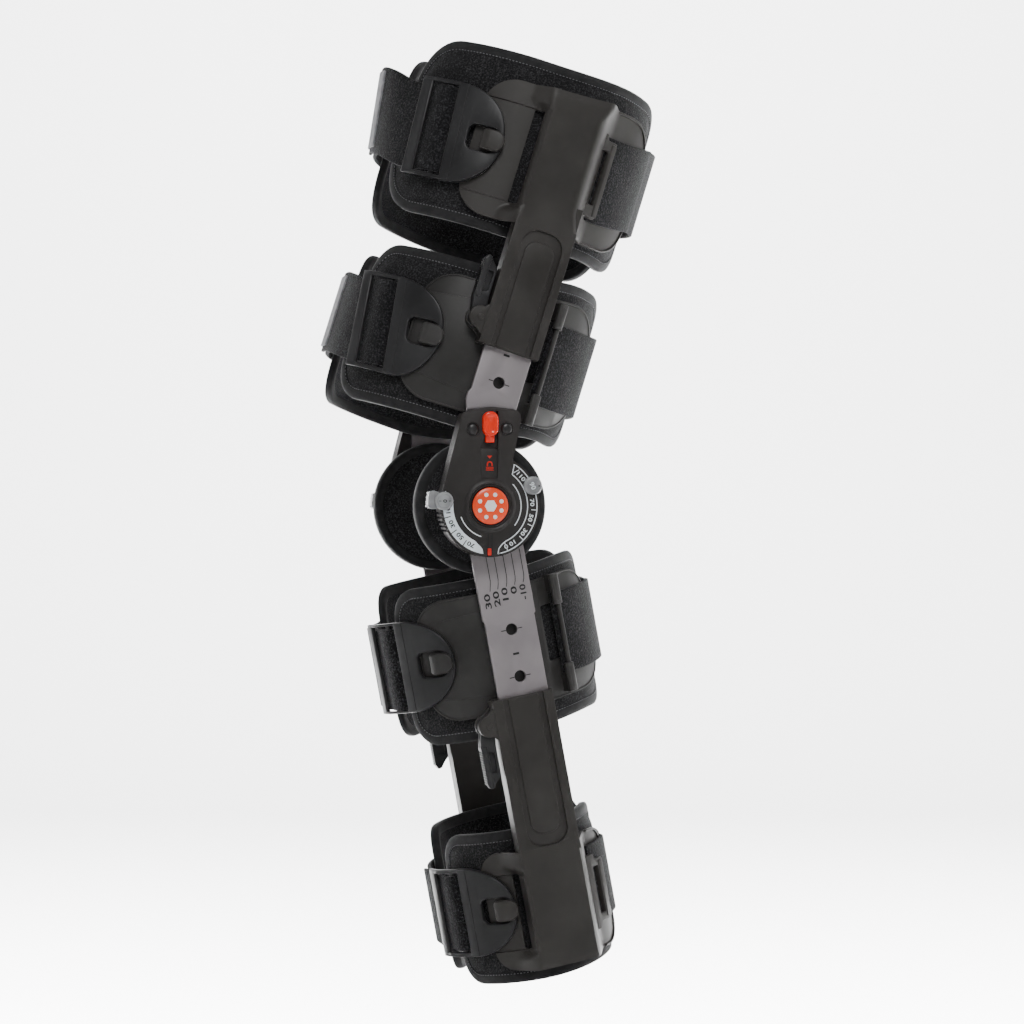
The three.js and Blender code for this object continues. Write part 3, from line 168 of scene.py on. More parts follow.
LEVELS = {
    "thigh_top": dict(frame="thigh", depth=77, width=70, middle=-13, body="thigh_cuff"),
    "thigh_mid": dict(frame="thigh", depth=74, width=70, middle=-9, body="thigh_section"),
    "calf_mid": dict(frame="calf", depth=63, width=57.6, middle=2, body="calf_section"),
    "calf_low": dict(frame="calf", depth=49.5, width=57.6, middle=-4, body="calf_cuff"),
}
PADS = {
    "thigh_top": dict(front=-98, back=104, low=97.5, high=204, lift=4, thick=7, corner=32, back_corner=34),
    "thigh_mid": dict(front=-95, back=99, low=-16.5, high=78.6, lift=9, thick=7, corner=24, back_corner=29),
    "calf_mid": dict(front=-73, back=86, low=-135, high=-41, lift=4, thick=6.5, corner=20, back_corner=24),
    "calf_low": dict(front=-69, back=80, low=-280.5, high=-190, lift=2, thick=8, corner=18, back_corner=22),
}
PLATES = {
    "thigh_top": dict(front=-40.5, back=79, low=105, high=187.5, lift=5, corner=19, back_corner=26),
    "thigh_mid": dict(front=-46.5, back=77, low=-7.5, high=68.5, lift=7.5, corner=21, back_corner=30),
    "calf_mid": dict(front=-53.5, back=72, low=-121.5, high=-50, lift=3.5, corner=20, back_corner=28),
    "calf_low": dict(front=-34.5, back=55, low=-272, high=-201.5, lift=0.5, corner=13, back_corner=15),
}
STRAPS = {
    "thigh_top": dict(width=51.5, front=147.5, front_rise=9, back=148.5, back_rise=12),
    "thigh_mid": dict(width=49.5, front=29.6, front_rise=4, back=35, back_rise=6),
    "calf_mid": dict(width=48, front=-86.8, front_rise=1, back=-82, back_rise=2),
    "calf_low": dict(width=45, front=-235, front_rise=1, back=-232, back_rise=1),
}
SLACK = {"thigh_top": dict(front=5, back=5, lean=4)}
TIGHT = dict(front=0, back=0, lean=0)
BUCKLES = {
    "thigh_top": dict(mid=147.5, peg=-30, nose=-22.5, back=-53, window=-69, front=-76.5, half=29.5),
    "thigh_mid": dict(mid=29.6, peg=-34, nose=-27, back=-56.5, window=-74, front=-81, half=28.6),
    "calf_mid": dict(mid=-86, peg=-41, nose=-32, back=-65, window=-82, front=-88, half=27),
    "calf_low": dict(mid=-235, peg=-24, nose=-17, back=-48, window=-65, front=-71, half=26.5),
}
BUCKLE_SLANT = {"thigh_top": -0.07, "thigh_mid": -0.14, "calf_mid": 0, "calf_low": 0}
RAILS = {
    "thigh_mid": dict(at=34.5, low=-2.5, high=71.5, clip_low=17, clip_high=55),
    "calf_mid": dict(at=31.5, low=-117, high=-47, clip_low=-99, clip_high=-66),
}
LOOPS = {
    "thigh_top": dict(
        front=31.8, bar=36.6, back=40.8, low=121.5, high=175, window_low=132, window_high=165,
    ),
    "calf_low": dict(
        front=29, bar=33.5, back=38.5, low=-257.5, high=-214.5, window_low=-250, window_high=-222,
    ),
}
print("levels:", ", ".join(LEVELS))

# %% [markdown]
# ## Places
# Two small maps take millimetres to the frame. One wraps flat work round a cuff's ellipse, as a sheet of
# plastic is warmed and bent. The other stands flat work beside the leg, for bars, sleeves and the dial.

# %% Maps from flat work to the frame
QUARTER_STEPS = 600
for level in LEVELS.values():
    angles = np.linspace(0, 1.5 * math.pi, 3 * QUARTER_STEPS + 1)
    middles = (angles[1:] + angles[:-1]) / 2
    steps = np.hypot(level["depth"] * np.cos(middles), level["width"] * np.sin(middles)) * angles[1]
    level["angles"], level["lengths"] = angles, np.concatenate([[0], np.cumsum(steps)])
    level["quarter"] = level["lengths"][QUARTER_STEPS]


def lean(frame_name, u, depth, v):
    if frame_name == "knee":
        return Vector((u, -depth, v)) * MM
    turn = math.radians(THIGH_LEAN if frame_name == "thigh" else -CALF_LEAN)
    rise = BEND_HEIGHT if frame_name == "thigh" else 0
    return Vector((
        u * math.cos(turn) + v * math.sin(turn), -depth, rise - u * math.sin(turn) + v * math.cos(turn),
    )) * MM


def round_leg(level, length, height, out):
    angle = math.copysign(np.interp(abs(length), level["lengths"], level["angles"]), length)
    sine, cosine = math.sin(angle), math.cos(angle)
    scale = 1 / math.hypot(sine / level["depth"], cosine / level["width"])
    u = level["middle"] + level["depth"] * sine + out * scale * sine / level["depth"]
    depth = level["width"] * cosine + out * scale * cosine / level["width"]
    return u, depth, height


def smooth_step(t):
    t = min(1, max(0, t))
    return t * t * (3 - 2 * t)


def lift_at(length, lift):
    return lift * smooth_step((length - LIFT_FROM) / LIFT_RUN)


# %% [markdown]
# ## Modelling tools
# Most pieces are flat outlines. An outline is filled, pushed up to its thickness and bevelled, because real
# moulded edges are never sharp. Wrapped work is also sliced every few millimetres, so that it bends smoothly.

# %% Outline tools
def arc(x, y, radius, start, end, count=10):
    angles = np.radians(np.linspace(start, end, count))
    return [(x + radius * math.cos(a), y + radius * math.sin(a)) for a in angles]


def circle(x, y, radius, count=40):
    return arc(x, y, radius, 0, 360, count + 1)[:-1]


def rounded(corners, count=6):
    """Corners are (x, y, radius), anticlockwise."""
    points = []
    for i, (x, y, radius) in enumerate(corners):
        here = Vector((x, y))
        before = (Vector(corners[i - 1][:2]) - here).normalized()
        after = (Vector(corners[(i + 1) % len(corners)][:2]) - here).normalized()
        if radius <= 0:
            points.append((x, y))
            continue
        half = before.angle(after) / 2
        start, end = here + before * radius / math.tan(half), here + after * radius / math.tan(half)
        for t in np.linspace(0, 1, count):
            middle = start.lerp(end, t)
            centre = here + (before + after).normalized() * radius / math.sin(half)
            points.append(tuple(centre + (middle - centre).normalized() * radius))
    return points


def box_outline(x0, y0, x1, y1, radius=0, count=6):
    return rounded([(x0, y0, radius), (x1, y0, radius), (x1, y1, radius), (x0, y1, radius)], count)


# %% Solid tools
def plate(outlines, low, high, bevel=0.5, segments=2, both=False):
    """The first outline is the rim, and any others are holes."""
    bm = bmesh.new()
    edges = []
    for outline in outlines:
        verts = [bm.verts.new((x, y, low)) for x, y in outline]
        edges += [bm.edges.new((verts[i - 1], verts[i])) for i in range(len(verts))]
        if len(outlines) == 1:
            bm.faces.new(verts)
    if len(outlines) > 1:
        bmesh.ops.triangle_fill(bm, use_beauty=True, use_dissolve=True, edges=edges, normal=(0, 0, 1))
    grown = bmesh.ops.extrude_face_region(bm, geom=bm.faces[:] + bm.edges[:], use_keep_orig=True)
    raised = [part for part in grown["geom"] if isinstance(part, bmesh.types.BMVert)]
    bmesh.ops.translate(bm, verts=raised, vec=(0, 0, high - low))
    bmesh.ops.recalc_face_normals(bm, faces=bm.faces)
    if bevel:
        rims = [
            edge for edge in bm.edges
            if len(edge.link_faces) == 2 and edge.calc_face_angle() > 0.9
            and (both or (edge.verts[0].co.z + edge.verts[1].co.z > low + high))
            and abs(edge.verts[0].co.z - edge.verts[1].co.z) < 1e-6
        ]
        bmesh.ops.bevel(
            bm, geom=rims, offset=bevel, segments=segments, profile=0.5, affect="EDGES", material=-1,
            clamp_overlap=True,
        )
    return bm


def cut_across(bm, axis, value):
    """Adds a row of edges where a coordinate has this value."""
    place, normal = Vector((0, 0, 0)), Vector((0, 0, 0))
    place[axis], normal[axis] = value, 1
    everything = bm.verts[:] + bm.edges[:] + bm.faces[:]
    bmesh.ops.bisect_plane(bm, geom=everything, plane_co=place, plane_no=normal)


def sliced(bm, step, axes=(0,)):
    for axis in axes:
        values = [vert.co[axis] for vert in bm.verts]
        for i in range(math.floor(min(values) / step) + 1, math.ceil(max(values) / step)):
            cut_across(bm, axis, i * step)
    return bm


def beam(outline, low, high, bevel=0.5, segments=2):
    """An outline of length and distance out, drawn along the height."""
    bm = plate([outline], low, high, bevel, segments, both=True)
    for vert in bm.verts:
        vert.co = (vert.co.x, vert.co.z, vert.co.y)
    bmesh.ops.reverse_faces(bm, faces=bm.faces)
    return bm


def merged(*parts):
    whole = parts[0]
    for part in parts[1:]:
        mesh = bpy.data.meshes.new("part")
        part.to_mesh(mesh)
        part.free()
        whole.from_mesh(mesh)
        bpy.data.meshes.remove(mesh)
    return whole


def wrapped(bm, level_name, lift=0):
    level = LEVELS[level_name]
    for vert in bm.verts:
        length, height, out = vert.co
        vert.co = lean(level["frame"], *round_leg(level, length, height + lift_at(length, lift), out))
    return bm


def stood(bm, frame_name):
    for vert in bm.verts:
        vert.co = lean(frame_name, vert.co.x, vert.co.z, vert.co.y)
    return bm


def other_side(bm):
    for vert in bm.verts:
        vert.co.y *= -1
    bmesh.ops.reverse_faces(bm, faces=bm.faces)
    return bm


def piece(bm, name, material, body, nodes=(), sharp=38):
    mesh = bpy.data.meshes.new(name)
    bm.to_mesh(mesh)
    bm.free()
    for face in mesh.polygons:
        face.use_smooth = True
    mesh.set_sharp_from_angle(angle=math.radians(sharp))
    mesh.materials.append(material)
    obj = bpy.data.objects.new(name, mesh)
    bpy.context.collection.objects.link(obj)
    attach(obj, body)
    if nodes:
        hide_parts(*nodes)
    return obj


def pair(make, name, material, body, nodes=(), slot=None, sharp=38):
    """make(side) gives the outer side's mesh; the inner side is its mirror image."""
    made = []
    for side in ("lateral", "medial"):
        bm = make(side)
        if side == "medial":
            other_side(bm)
        side_body = body if body in frame["bodies"] else f"{body}_{side}"
        replaced = [f"{node}_{side}" for node in nodes]
        obj = piece(bm, f"{name}_{side}_look", material, side_body, replaced, sharp)
        made.append(obj)
    print(name, "triangles:", sum(len(face.vertices) - 2 for face in made[0].data.polygons))
    return made


# %% [markdown]
# ## Finishes
# Each finish starts from the real material. Grain sizes are given in millimetres and turned into noise
# scales. A grain too fine to show in the render is drawn a little coarser than the real one.

# %% Node helper
def add(tree, kind, settings=None, inputs=None, links=()):
    node = tree.nodes.new(kind)
    for name, value in (settings or {}).items():
        setattr(node, name, value)
    for name, value in (inputs or {}).items():
        node.inputs[name].default_value = value
    for name, source in links:
        tree.links.new(source, node.inputs[name])
    return node


def blank_material(name, **inputs):
    material = bpy.data.materials.new(name)
    material.use_nodes = True
    shader = material.node_tree.nodes["Principled BSDF"]
    for socket, value in inputs.items():
        shader.inputs[socket.replace("_", " ")].default_value = value
    return material, material.node_tree, shader


def grain(tree, size_mm, detail=2.0, roughness=0.5):
    coordinates = add(tree, "ShaderNodeTexCoord")
    return add(
        tree, "ShaderNodeTexNoise",
        inputs={"Scale": 1 / (size_mm * MM), "Detail": detail, "Roughness": roughness},
        links=[("Vector", coordinates.outputs["Object"])],
    )


def ramp(tree, factor, *stops):
    node = add(tree, "ShaderNodeValToRGB", links=[("Fac", factor)])
    elements = node.color_ramp.elements
    while len(elements) < len(stops):
        elements.new(0.5)
    for element, (place, colour) in zip(elements, stops):
        element.position = place
        element.color = linear(colour)
    return node


def bump(tree, shader, height, distance_mm, strength):
    inputs = {"Distance": distance_mm * MM, "Strength": strength}
    node = add(tree, "ShaderNodeBump", inputs=inputs, links=[("Height", height)])
    tree.links.new(node.outputs["Normal"], shader.inputs["Normal"])


# %% [markdown]
# ### Moulded plastics
# The shells, plates and buckles are nylon from a spark-eroded mould. That leaves a fine, even grain which
# breaks reflections into a soft sheen. The dial is the same nylon from a smoother mould.

# %% Moulded nylon
def moulded_nylon(name, dark, light, rough, grain_mm, depth_mm):
    material, tree, shader = blank_material(name, Roughness=rough, IOR=1.53, Specular_IOR_Level=0.28)
    cloud = grain(tree, 38, 3.0)
    colour = ramp(tree, cloud.outputs["Fac"], (0.35, dark), (0.68, light))
    tree.links.new(colour.outputs["Color"], shader.inputs["Base Color"])
    fine = grain(tree, grain_mm, 1.0, 0.4)
    gloss = add(
        tree, "ShaderNodeMapRange",
        inputs={"From Min": 0.3, "From Max": 0.7, "To Min": rough - 0.06, "To Max": rough + 0.09},
        links=[("Value", cloud.outputs["Fac"])],
    )
    tree.links.new(gloss.outputs["Result"], shader.inputs["Roughness"])
    bump(tree, shader, fine.outputs["Fac"], depth_mm, 0.55)
    return material


shell_nylon = moulded_nylon("spark_eroded_nylon", "#312f2d", "#3b3937", 0.42, 0.7, 0.03)
plate_nylon = moulded_nylon("coarse_grain_nylon", "#2e2d2c", "#3a3938", 0.48, 0.9, 0.07)
dial_nylon = moulded_nylon("smooth_dial_nylon", "#2f2d2c", "#363332", 0.42, 0.5, 0.012)
buckle_acetal = moulded_nylon("moulded_acetal", "#262627", "#303031", 0.36, 0.6, 0.012)
lever_nylon = moulded_nylon("glass_filled_nylon", "#2b2b2c", "#353536", 0.36, 0.5, 0.012)
print("plastics ready")

# %% [markdown]
# ### Coloured plastics, metal and ink
# The lock slider is glossy red-orange acetal. The range stops are smoky clear polycarbonate. The bars are
# bead-blasted aluminium, anodised a warm grey: metal, but with the shine broken up. Marks are printed ink.

# %% Gloss, clear plastic, aluminium and ink
def plain_gloss(name, dark, light, rough, coat=0.0, **inputs):
    material, tree, shader = blank_material(name, Roughness=rough, IOR=1.5, Coat_Weight=coat, **inputs)
    cloud = grain(tree, 9, 2.0)
    colour = ramp(tree, cloud.outputs["Fac"], (0.4, dark), (0.65, light))
    tree.links.new(colour.outputs["Color"], shader.inputs["Base Color"])
    bump(tree, shader, grain(tree, 1.6, 1.0).outputs["Fac"], 0.01, 0.3)
    return material


slider_red = plain_gloss("gloss_red_acetal", "#f22400", "#ff3300", 0.25, 0.2)
badge_orange = plain_gloss("gloss_orange_enamel", "#fb4a1c", "#ff5628", 0.3, 0.15)
badge_white = plain_gloss("gloss_white_enamel", "#f8f8f5", "#ffffff", 0.32, 0.3)
stop_clear = plain_gloss("smoky_polycarbonate", "#97989a", "#b9bbbd", 0.2, 0.3, Transmission_Weight=0.25)
print_white = plain_gloss("white_pad_print", "#e3e9ed", "#eef2f4", 0.5)
print_pale = plain_gloss("pale_blue_pad_print", "#e4edf2", "#eef5f8", 0.5)
# Besides real print, this black ink also paints the shade along the dial pointer's edges.
black_print_and_shade_ink = plain_gloss("black_pad_print_and_painted_shade", "#0c0c0d", "#141415", 0.5)
print_red = plain_gloss("red_pad_print", "#d62008", "#e42a10", 0.45)
blackened_steel = plain_gloss("blackened_steel_rivet", "#1d1c1c", "#282727", 0.34)


def anodised_aluminium(name):
    material, tree, shader = blank_material(name, Metallic=0.72, Roughness=0.46)
    cloud = grain(tree, 30, 3.0)
    colour = ramp(tree, cloud.outputs["Fac"], (0.35, "#979194"), (0.7, "#a39d9f"))
    tree.links.new(colour.outputs["Color"], shader.inputs["Base Color"])
    blast = grain(tree, 0.6, 1.0)
    bump(tree, shader, blast.outputs["Fac"], 0.02, 0.5)
    return material


bar_metal = anodised_aluminium("blasted_anodised_aluminium")
print("gloss, metal and ink ready")

# %% [markdown]
# ### Cloth
# Pads and straps are faced with unbroken loop, a knit brushed into a deep nap that hook tape grips. Up close
# it is a field of tiny dark tufts with paler tips. The pad's edge is bound in a smoother folded tape.

# %% Brushed loop, tape and thread
def brushed_loop(name, deep, middle, tip, tuft_mm, depth_mm, sheen):
    material, tree, shader = blank_material(
        name, Roughness=1.0, Sheen_Weight=sheen, Sheen_Roughness=0.45, Specular_IOR_Level=0.2,
    )
    tufts = grain(tree, tuft_mm, 3.0, 0.6)
    patches = grain(tree, 14, 2.0)
    mixed = add(
        tree, "ShaderNodeMath", {"operation": "MULTIPLY_ADD"}, {1: 0.16},
        [(0, patches.outputs["Fac"]), (2, tufts.outputs["Fac"])],
    )
    colour = ramp(tree, mixed.outputs["Value"], (0.42, deep), (0.58, middle), (0.78, tip))
    tree.links.new(colour.outputs["Color"], shader.inputs["Base Color"])
    bump(tree, shader, tufts.outputs["Fac"], depth_mm, 0.9)
    return material


pad_plush = brushed_loop("brushed_loop_pad", "#141415", "#222223", "#424244", 0.9, 0.4, 0.16)
strap_loop = brushed_loop("brushed_loop_strap", "#0c0c0d", "#18181a", "#3a3a3c", 1.1, 0.6, 0.16)


def woven_tape(name, dark, light, thread_mm):
    material, tree, shader = blank_material(
        name, Roughness=0.8, Sheen_Weight=0.15, Sheen_Roughness=0.5, Specular_IOR_Level=0.3,
    )
    cloud = grain(tree, 5, 3.0)
    colour = ramp(tree, cloud.outputs["Fac"], (0.3, dark), (0.7, light))
    tree.links.new(colour.outputs["Color"], shader.inputs["Base Color"])
    bump(tree, shader, grain(tree, thread_mm, 1.0).outputs["Fac"], 0.15, 0.6)
    return material


binding_tape = woven_tape("folded_nylon_tape", "#1c1c1d", "#282829", 0.8)
pale_thread = woven_tape("pale_polyester_thread", "#57585a", "#6f7072", 0.5)
hook_tape = woven_tape("grey_hook_tape", "#6f7072", "#8d8e90", 0.9)
print("cloth ready")

# %% [markdown]
# ## Foam pads
# Each pad is a sheet of foam between two layers of brushed loop. Its edge is squeezed under the binding, and
# the foam swells to its full thickness just inside. A fine grid is lifted by its distance from the edge.

# %% Pad shapes
BINDING_WIDE = 7.2
SQUEEZED, SWELL_FROM, SWELL_RUN = 0.6, BINDING_WIDE - 1.5, 9
WAVE_HIGH, WAVE_FROM, WAVE_RUN = 0.25, 9, 12


def edge_distance(pad, length, height):
    half_l, half_h = (pad["back"] - pad["front"]) / 2, (pad["high"] - pad["low"]) / 2
    corner = pad["corner"] if length < pad["front"] + half_l else pad["back_corner"]
    across = abs(length - (pad["back"] + pad["front"]) / 2) - (half_l - corner)
    up = abs(height - (pad["high"] + pad["low"]) / 2) - (half_h - corner)
    return corner - math.hypot(max(across, 0), max(up, 0)) - min(max(across, up), 0)


def sheet_outline(size, inset=0.0, count=14):
    low, high = size["low"] + inset, size["high"] - inset
    front, front_corner = size["front"] + inset, size["corner"] - inset
    back, back_corner = size["back"] - inset, size["back_corner"] - inset
    return rounded([
        (front, low, front_corner), (back, low, back_corner),
        (back, high, back_corner), (front, high, front_corner),
    ], count)


def foam_pad(name):
    pad = PADS[name]
    bm = plate([sheet_outline(pad, 0.6)], -1, 1, 0)
    sliced(bm, 4, (0, 1))
    half = pad["thick"] / 2
    for vert in bm.verts:
        length, height, _ = vert.co
        inside = edge_distance(pad, length, height)
        swell = SQUEEZED + (1 - SQUEEZED) * smooth_step((inside - SWELL_FROM) / SWELL_RUN)
        wave = WAVE_HIGH * math.sin(length / 11 + height / 17) * smooth_step((inside - WAVE_FROM) / WAVE_RUN)
        vert.co.z = -half + (half * swell - WAVE_HIGH + min(0, wave)) * (1 if vert.co.z > 0 else -1)
    return bm


# %% [markdown]
# ### Binding and stitches
# The binding is a tape folded over the foam's edge, so it is one flat tube that follows the outline. Its
# section grows from a first ring, edge by edge. A row of pale stitches holds its inner edge.

# %% Binding
TAPE_POWER = 0.6


def ringed(outline, section):
    """Sweeps a section (inset, out) round a closed outline."""
    bm = bmesh.new()
    count = len(outline)
    normals = []
    for i in range(count):
        along = Vector(outline[(i + 1) % count]) - Vector(outline[i - 1])
        normals.append(Vector((-along.y, along.x)).normalized())
    first = [bm.verts.new((*outline[i], 0)) for i in range(count)]
    loop_edges = [bm.edges.new((first[i - 1], first[i])) for i in range(count)]
    ring = {vert: i for i, vert in enumerate(first)}
    rings = [ring]
    for _ in section[1:]:
        grown = bmesh.ops.extrude_edge_only(bm, edges=loop_edges)
        new = {part for part in grown["geom"] if isinstance(part, bmesh.types.BMVert)}
        loop_edges = [
            part for part in grown["geom"]
            if isinstance(part, bmesh.types.BMEdge) and part.verts[0] in new and part.verts[1] in new
        ]
        ring = {vert: rings[-1][edge.other_vert(vert)] for vert in new for edge in vert.link_edges
                if edge.other_vert(vert) in rings[-1]}
        rings.append(ring)
    for (inset, out), ring in zip(section, rings):
        for vert, i in ring.items():
            place = Vector(outline[i]) + normals[i] * inset
            vert.co = (place.x, place.y, out)
    start_edges = [edge for edge in bm.edges if len(edge.link_faces) == 1]
    bmesh.ops.bridge_loops(bm, edges=start_edges)
    bmesh.ops.recalc_face_normals(bm, faces=bm.faces)
    return bm


def dense(outline, step=4):
    points = []
    for i, point in enumerate(outline):
        start, end = Vector(outline[i - 1]), Vector(point)
        count = max(1, round((end - start).length / step))
        points += [tuple(start.lerp(end, (k + 1) / count)) for k in range(count)]
    return points


def squared(value, power):
    """Pushes a sine or cosine outwards, which makes a round section squarer."""
    return math.copysign(abs(value) ** power, value)


def binding(name):
    pad = PADS[name]
    half_wide, half_thick = BINDING_WIDE / 2, pad["thick"] * 0.3 + 0.35
    section = [
        (half_wide - half_wide * squared(math.cos(a), TAPE_POWER),
         -pad["thick"] / 2 + half_thick * squared(math.sin(a), TAPE_POWER))
        for a in np.linspace(0, 2 * math.pi, 15)[:-1]
    ]
    return ringed(dense(sheet_outline(pad)), section)


STITCH_PITCH, STITCH_LONG, THREAD_THICK = 2.1, 1.05, 0.42


def stitches(name):
    pad = PADS[name]
    outline = dense(sheet_outline(pad, BINDING_WIDE - 1.4), STITCH_PITCH)
    out = -pad["thick"] / 2 + pad["thick"] * 0.3 + 0.2
    bm = bmesh.new()
    for i, point in enumerate(outline):
        along = Vector(point) - Vector(outline[i - 1])
        turned = Matrix.Rotation(math.atan2(along.y, along.x), 4, "Z")
        place = Matrix.Translation((*((Vector(point) + Vector(outline[i - 1])) / 2), out))
        shape = Matrix.Diagonal((STITCH_LONG, THREAD_THICK, THREAD_THICK, 1))
        bmesh.ops.create_cube(bm, size=1, matrix=place @ turned @ shape)
    return bm


def round_cuff(make, name):
    """A maker for pair(), of one part of a pad wrapped round the leg."""
    return lambda side: wrapped(make(name), name, PADS[name]["lift"])


for name in PADS:
    body = LEVELS[name]["body"]
    for obj in pair(round_cuff(foam_pad, name), f"{name}_foam", pad_plush, body, [f"{name}_pad"], "foam"):
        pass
    pair(round_cuff(binding, name), f"{name}_binding", binding_tape, body, (), "foam")
    pair(round_cuff(stitches, name), f"{name}_stitches", pale_thread, body, (), "foam")

# %% [markdown]
# ### Round knee pads
# The two pads beside the knee are discs of the same foam. Each is turned as on a lathe: half a section is
# spun once round the hinge's axis.

# %% Knee pads
KNEE_PAD_RADIUS, KNEE_PAD_IN, KNEE_PAD_OUT = 39.5, 48.7, 60.7


def spun(section, steps=48, centre=(0, 0)):
    """A half section of (radius, out), spun round the out axis."""
    bm = bmesh.new()
    verts = [bm.verts.new((radius, 0, out)) for radius, out in section]
    edges = [bm.edges.new(pair_of) for pair_of in zip(verts, verts[1:])]
    bmesh.ops.spin(
        bm, geom=verts + edges, cent=(0, 0, 0), axis=(0, 0, 1), angle=2 * math.pi, steps=steps,
        use_merge=True,
    )
    bmesh.ops.remove_doubles(bm, verts=bm.verts, dist=0.0005)
    bmesh.ops.translate(bm, verts=bm.verts, vec=(*centre, 0))
    bmesh.ops.recalc_face_normals(bm, faces=bm.faces)
    return bm


def knee_foam(side):
    rim = KNEE_PAD_RADIUS
    steps = [(0, 0), (rim * 0.6, 0), (rim - 8, 0.5), (rim - 5, 2.5), (rim - 1.5, 3)]
    section = [(radius, KNEE_PAD_IN + step) for radius, step in steps]
    section += [(radius, KNEE_PAD_OUT - step) for radius, step in reversed(steps)]
    return stood(spun(section, 64), "knee")


def knee_binding(side):
    middle, half = (KNEE_PAD_IN + KNEE_PAD_OUT) / 2, (KNEE_PAD_OUT - KNEE_PAD_IN) / 2 - 1.6
    half_wide = BINDING_WIDE / 2
    ring = [
        (KNEE_PAD_RADIUS - half_wide + half_wide * squared(math.cos(a), TAPE_POWER),
         middle + half * squared(math.sin(a), TAPE_POWER))
        for a in np.linspace(0, 2 * math.pi, 17)
    ]
    return stood(spun(ring, 72), "knee")


for obj in pair(knee_foam, "knee_foam", pad_plush, "thigh_section", ["knee_pad"], "foam"):
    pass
pair(knee_binding, "knee_binding", binding_tape, "thigh_section", (), "foam")

# %% [markdown]
# ## Straps
# A strap is one length of brushed loop. The front strap starts on the inner side, passes round the front,
# goes through the buckle, turns round its inner bar and sticks to itself. Its path is drawn as seen from
# above, pushed along the strap's width, wrapped round the leg, and given its thickness at the end.

# %% Strap paths
LAYER_IN, LAYER_OUT, BACK_LAYER = 2.2, 4.9, 1.7
TURN_RADIUS, TURN_SET_IN, TAB_PAST_FRONT = 2.7, 4.8, 8
PATH_STEP = 3.0


def even(start, end, step=PATH_STEP):
    return list(np.linspace(start, end, max(2, round(abs(end - start) / step) + 1)))


def share_of_front(name, length):
    """Grows from 0 at the buckle to 1 at the very front, and falls again on the inner side."""
    quarter, start = LEVELS[name]["quarter"], -BUCKLES[name]["front"]
    near = min(-length, 2 * quarter + length)
    return smooth_step((near - start) / (quarter - start))


def stand_off(name, length):
    return SLACK.get(name, TIGHT)["front"] * share_of_front(name, length)


def leaning_out(name, length, height):
    """At the very front the strap's top edge stands further out than its bottom edge, as a thigh widens."""
    above_middle = (height - STRAPS[name]["front"]) / (STRAPS[name]["width"] / 2)
    return SLACK.get(name, TIGHT)["lean"] * share_of_front(name, length) * above_middle


def front_path(name):
    quarter, plate_size, buckle = LEVELS[name]["quarter"], PLATES[name], BUCKLES[name]
    turn_at = buckle["back"] - TURN_SET_IN
    turn_out = LAYER_IN + TURN_RADIUS
    far = -(2 * quarter + plate_size["front"] + 12)
    edge = -2 * quarter - plate_size["front"]
    path = [
        (length, LAYER_IN + PLATE_OUT * (1 - smooth_step((length - edge - 1) / 9)))
        for length in even(far, turn_at)
    ]
    for angle in np.radians(np.linspace(-72, 90, 8)):
        path.append((turn_at + TURN_RADIUS * math.cos(angle), turn_out + TURN_RADIUS * math.sin(angle)))
    path += [(turn_at - 5, turn_out + TURN_RADIUS - 0.2)]
    path += [(length, LAYER_OUT + 0.5) for length in even(turn_at - 9, buckle["window"] + 1.5)[:-1]]
    path += [(length, LAYER_OUT) for length in even(buckle["window"], -quarter - TAB_PAST_FRONT)]
    return [(length, out + stand_off(name, length)) for length, out in path]


def strap_hold(name):
    return RAILS[name]["at"] - 3 if name in RAILS else LOOPS[name]["front"] + 0.8


def back_path(name):
    half, plate_size = 2 * LEVELS[name]["quarter"], PLATES[name]
    free = plate_size["back"] + 9
    path = []
    for length in even(strap_hold(name), half - strap_hold(name)):
        near = min(length, half - length)
        out = BACK_LAYER + PLATE_OUT * (1 - smooth_step((near - free + 8) / 8))
        share = smooth_step((near - free) / (half / 2 - free))
        path.append((length, out + SLACK.get(name, TIGHT)["back"] * share))
    return path


def path_length(level_name, path):
    points = [Vector(round_leg(LEVELS[level_name], length, 0, out)) for length, out in path]
    return sum((b - a).length for a, b in zip(points, points[1:])) * MM


# %% Strap cloth
def strap_mesh(name, path, middle, rise_at, slant_at=None, lean_at=None):
    width = STRAPS[name]["width"]
    bm = bmesh.new()
    low, high = middle - width / 2, middle + width / 2
    line = [bm.verts.new((length, low, out)) for length, out in path]
    current = [bm.edges.new(ends) for ends in zip(line, line[1:])]
    rows = 10
    for _ in range(rows):
        grown = bmesh.ops.extrude_edge_only(bm, edges=current)
        new = {part for part in grown["geom"] if isinstance(part, bmesh.types.BMVert)}
        bmesh.ops.translate(bm, verts=list(new), vec=(0, (high - low) / rows, 0))
        current = [
            part for part in grown["geom"]
            if isinstance(part, bmesh.types.BMEdge) and part.verts[0] in new and part.verts[1] in new
        ]
    bmesh.ops.recalc_face_normals(bm, faces=bm.faces)
    for vert in bm.verts:
        length, height, out = vert.co
        shift = slant_at(length, height) if slant_at else 0
        lean_out = lean_at(length, height) if lean_at else 0
        vert.co = (length + shift, height + rise_at(length), out + lean_out)
    return wrapped(bm, name)


def cloth_piece(bm, name, material, body, nodes):
    obj = piece(bm, name, material, body, nodes, 180)
    thicken = obj.modifiers.new("thickness", "SOLIDIFY")
    thicken.thickness = STRAP_THICK * MM
    thicken.offset = 0
    thicken.use_even_offset = False
    soften = obj.modifiers.new("soft_edge", "BEVEL")
    soften.width = 0.7 * MM
    soften.segments = 3
    soften.limit_method = "ANGLE"
    soften.angle_limit = math.radians(50)
    return obj


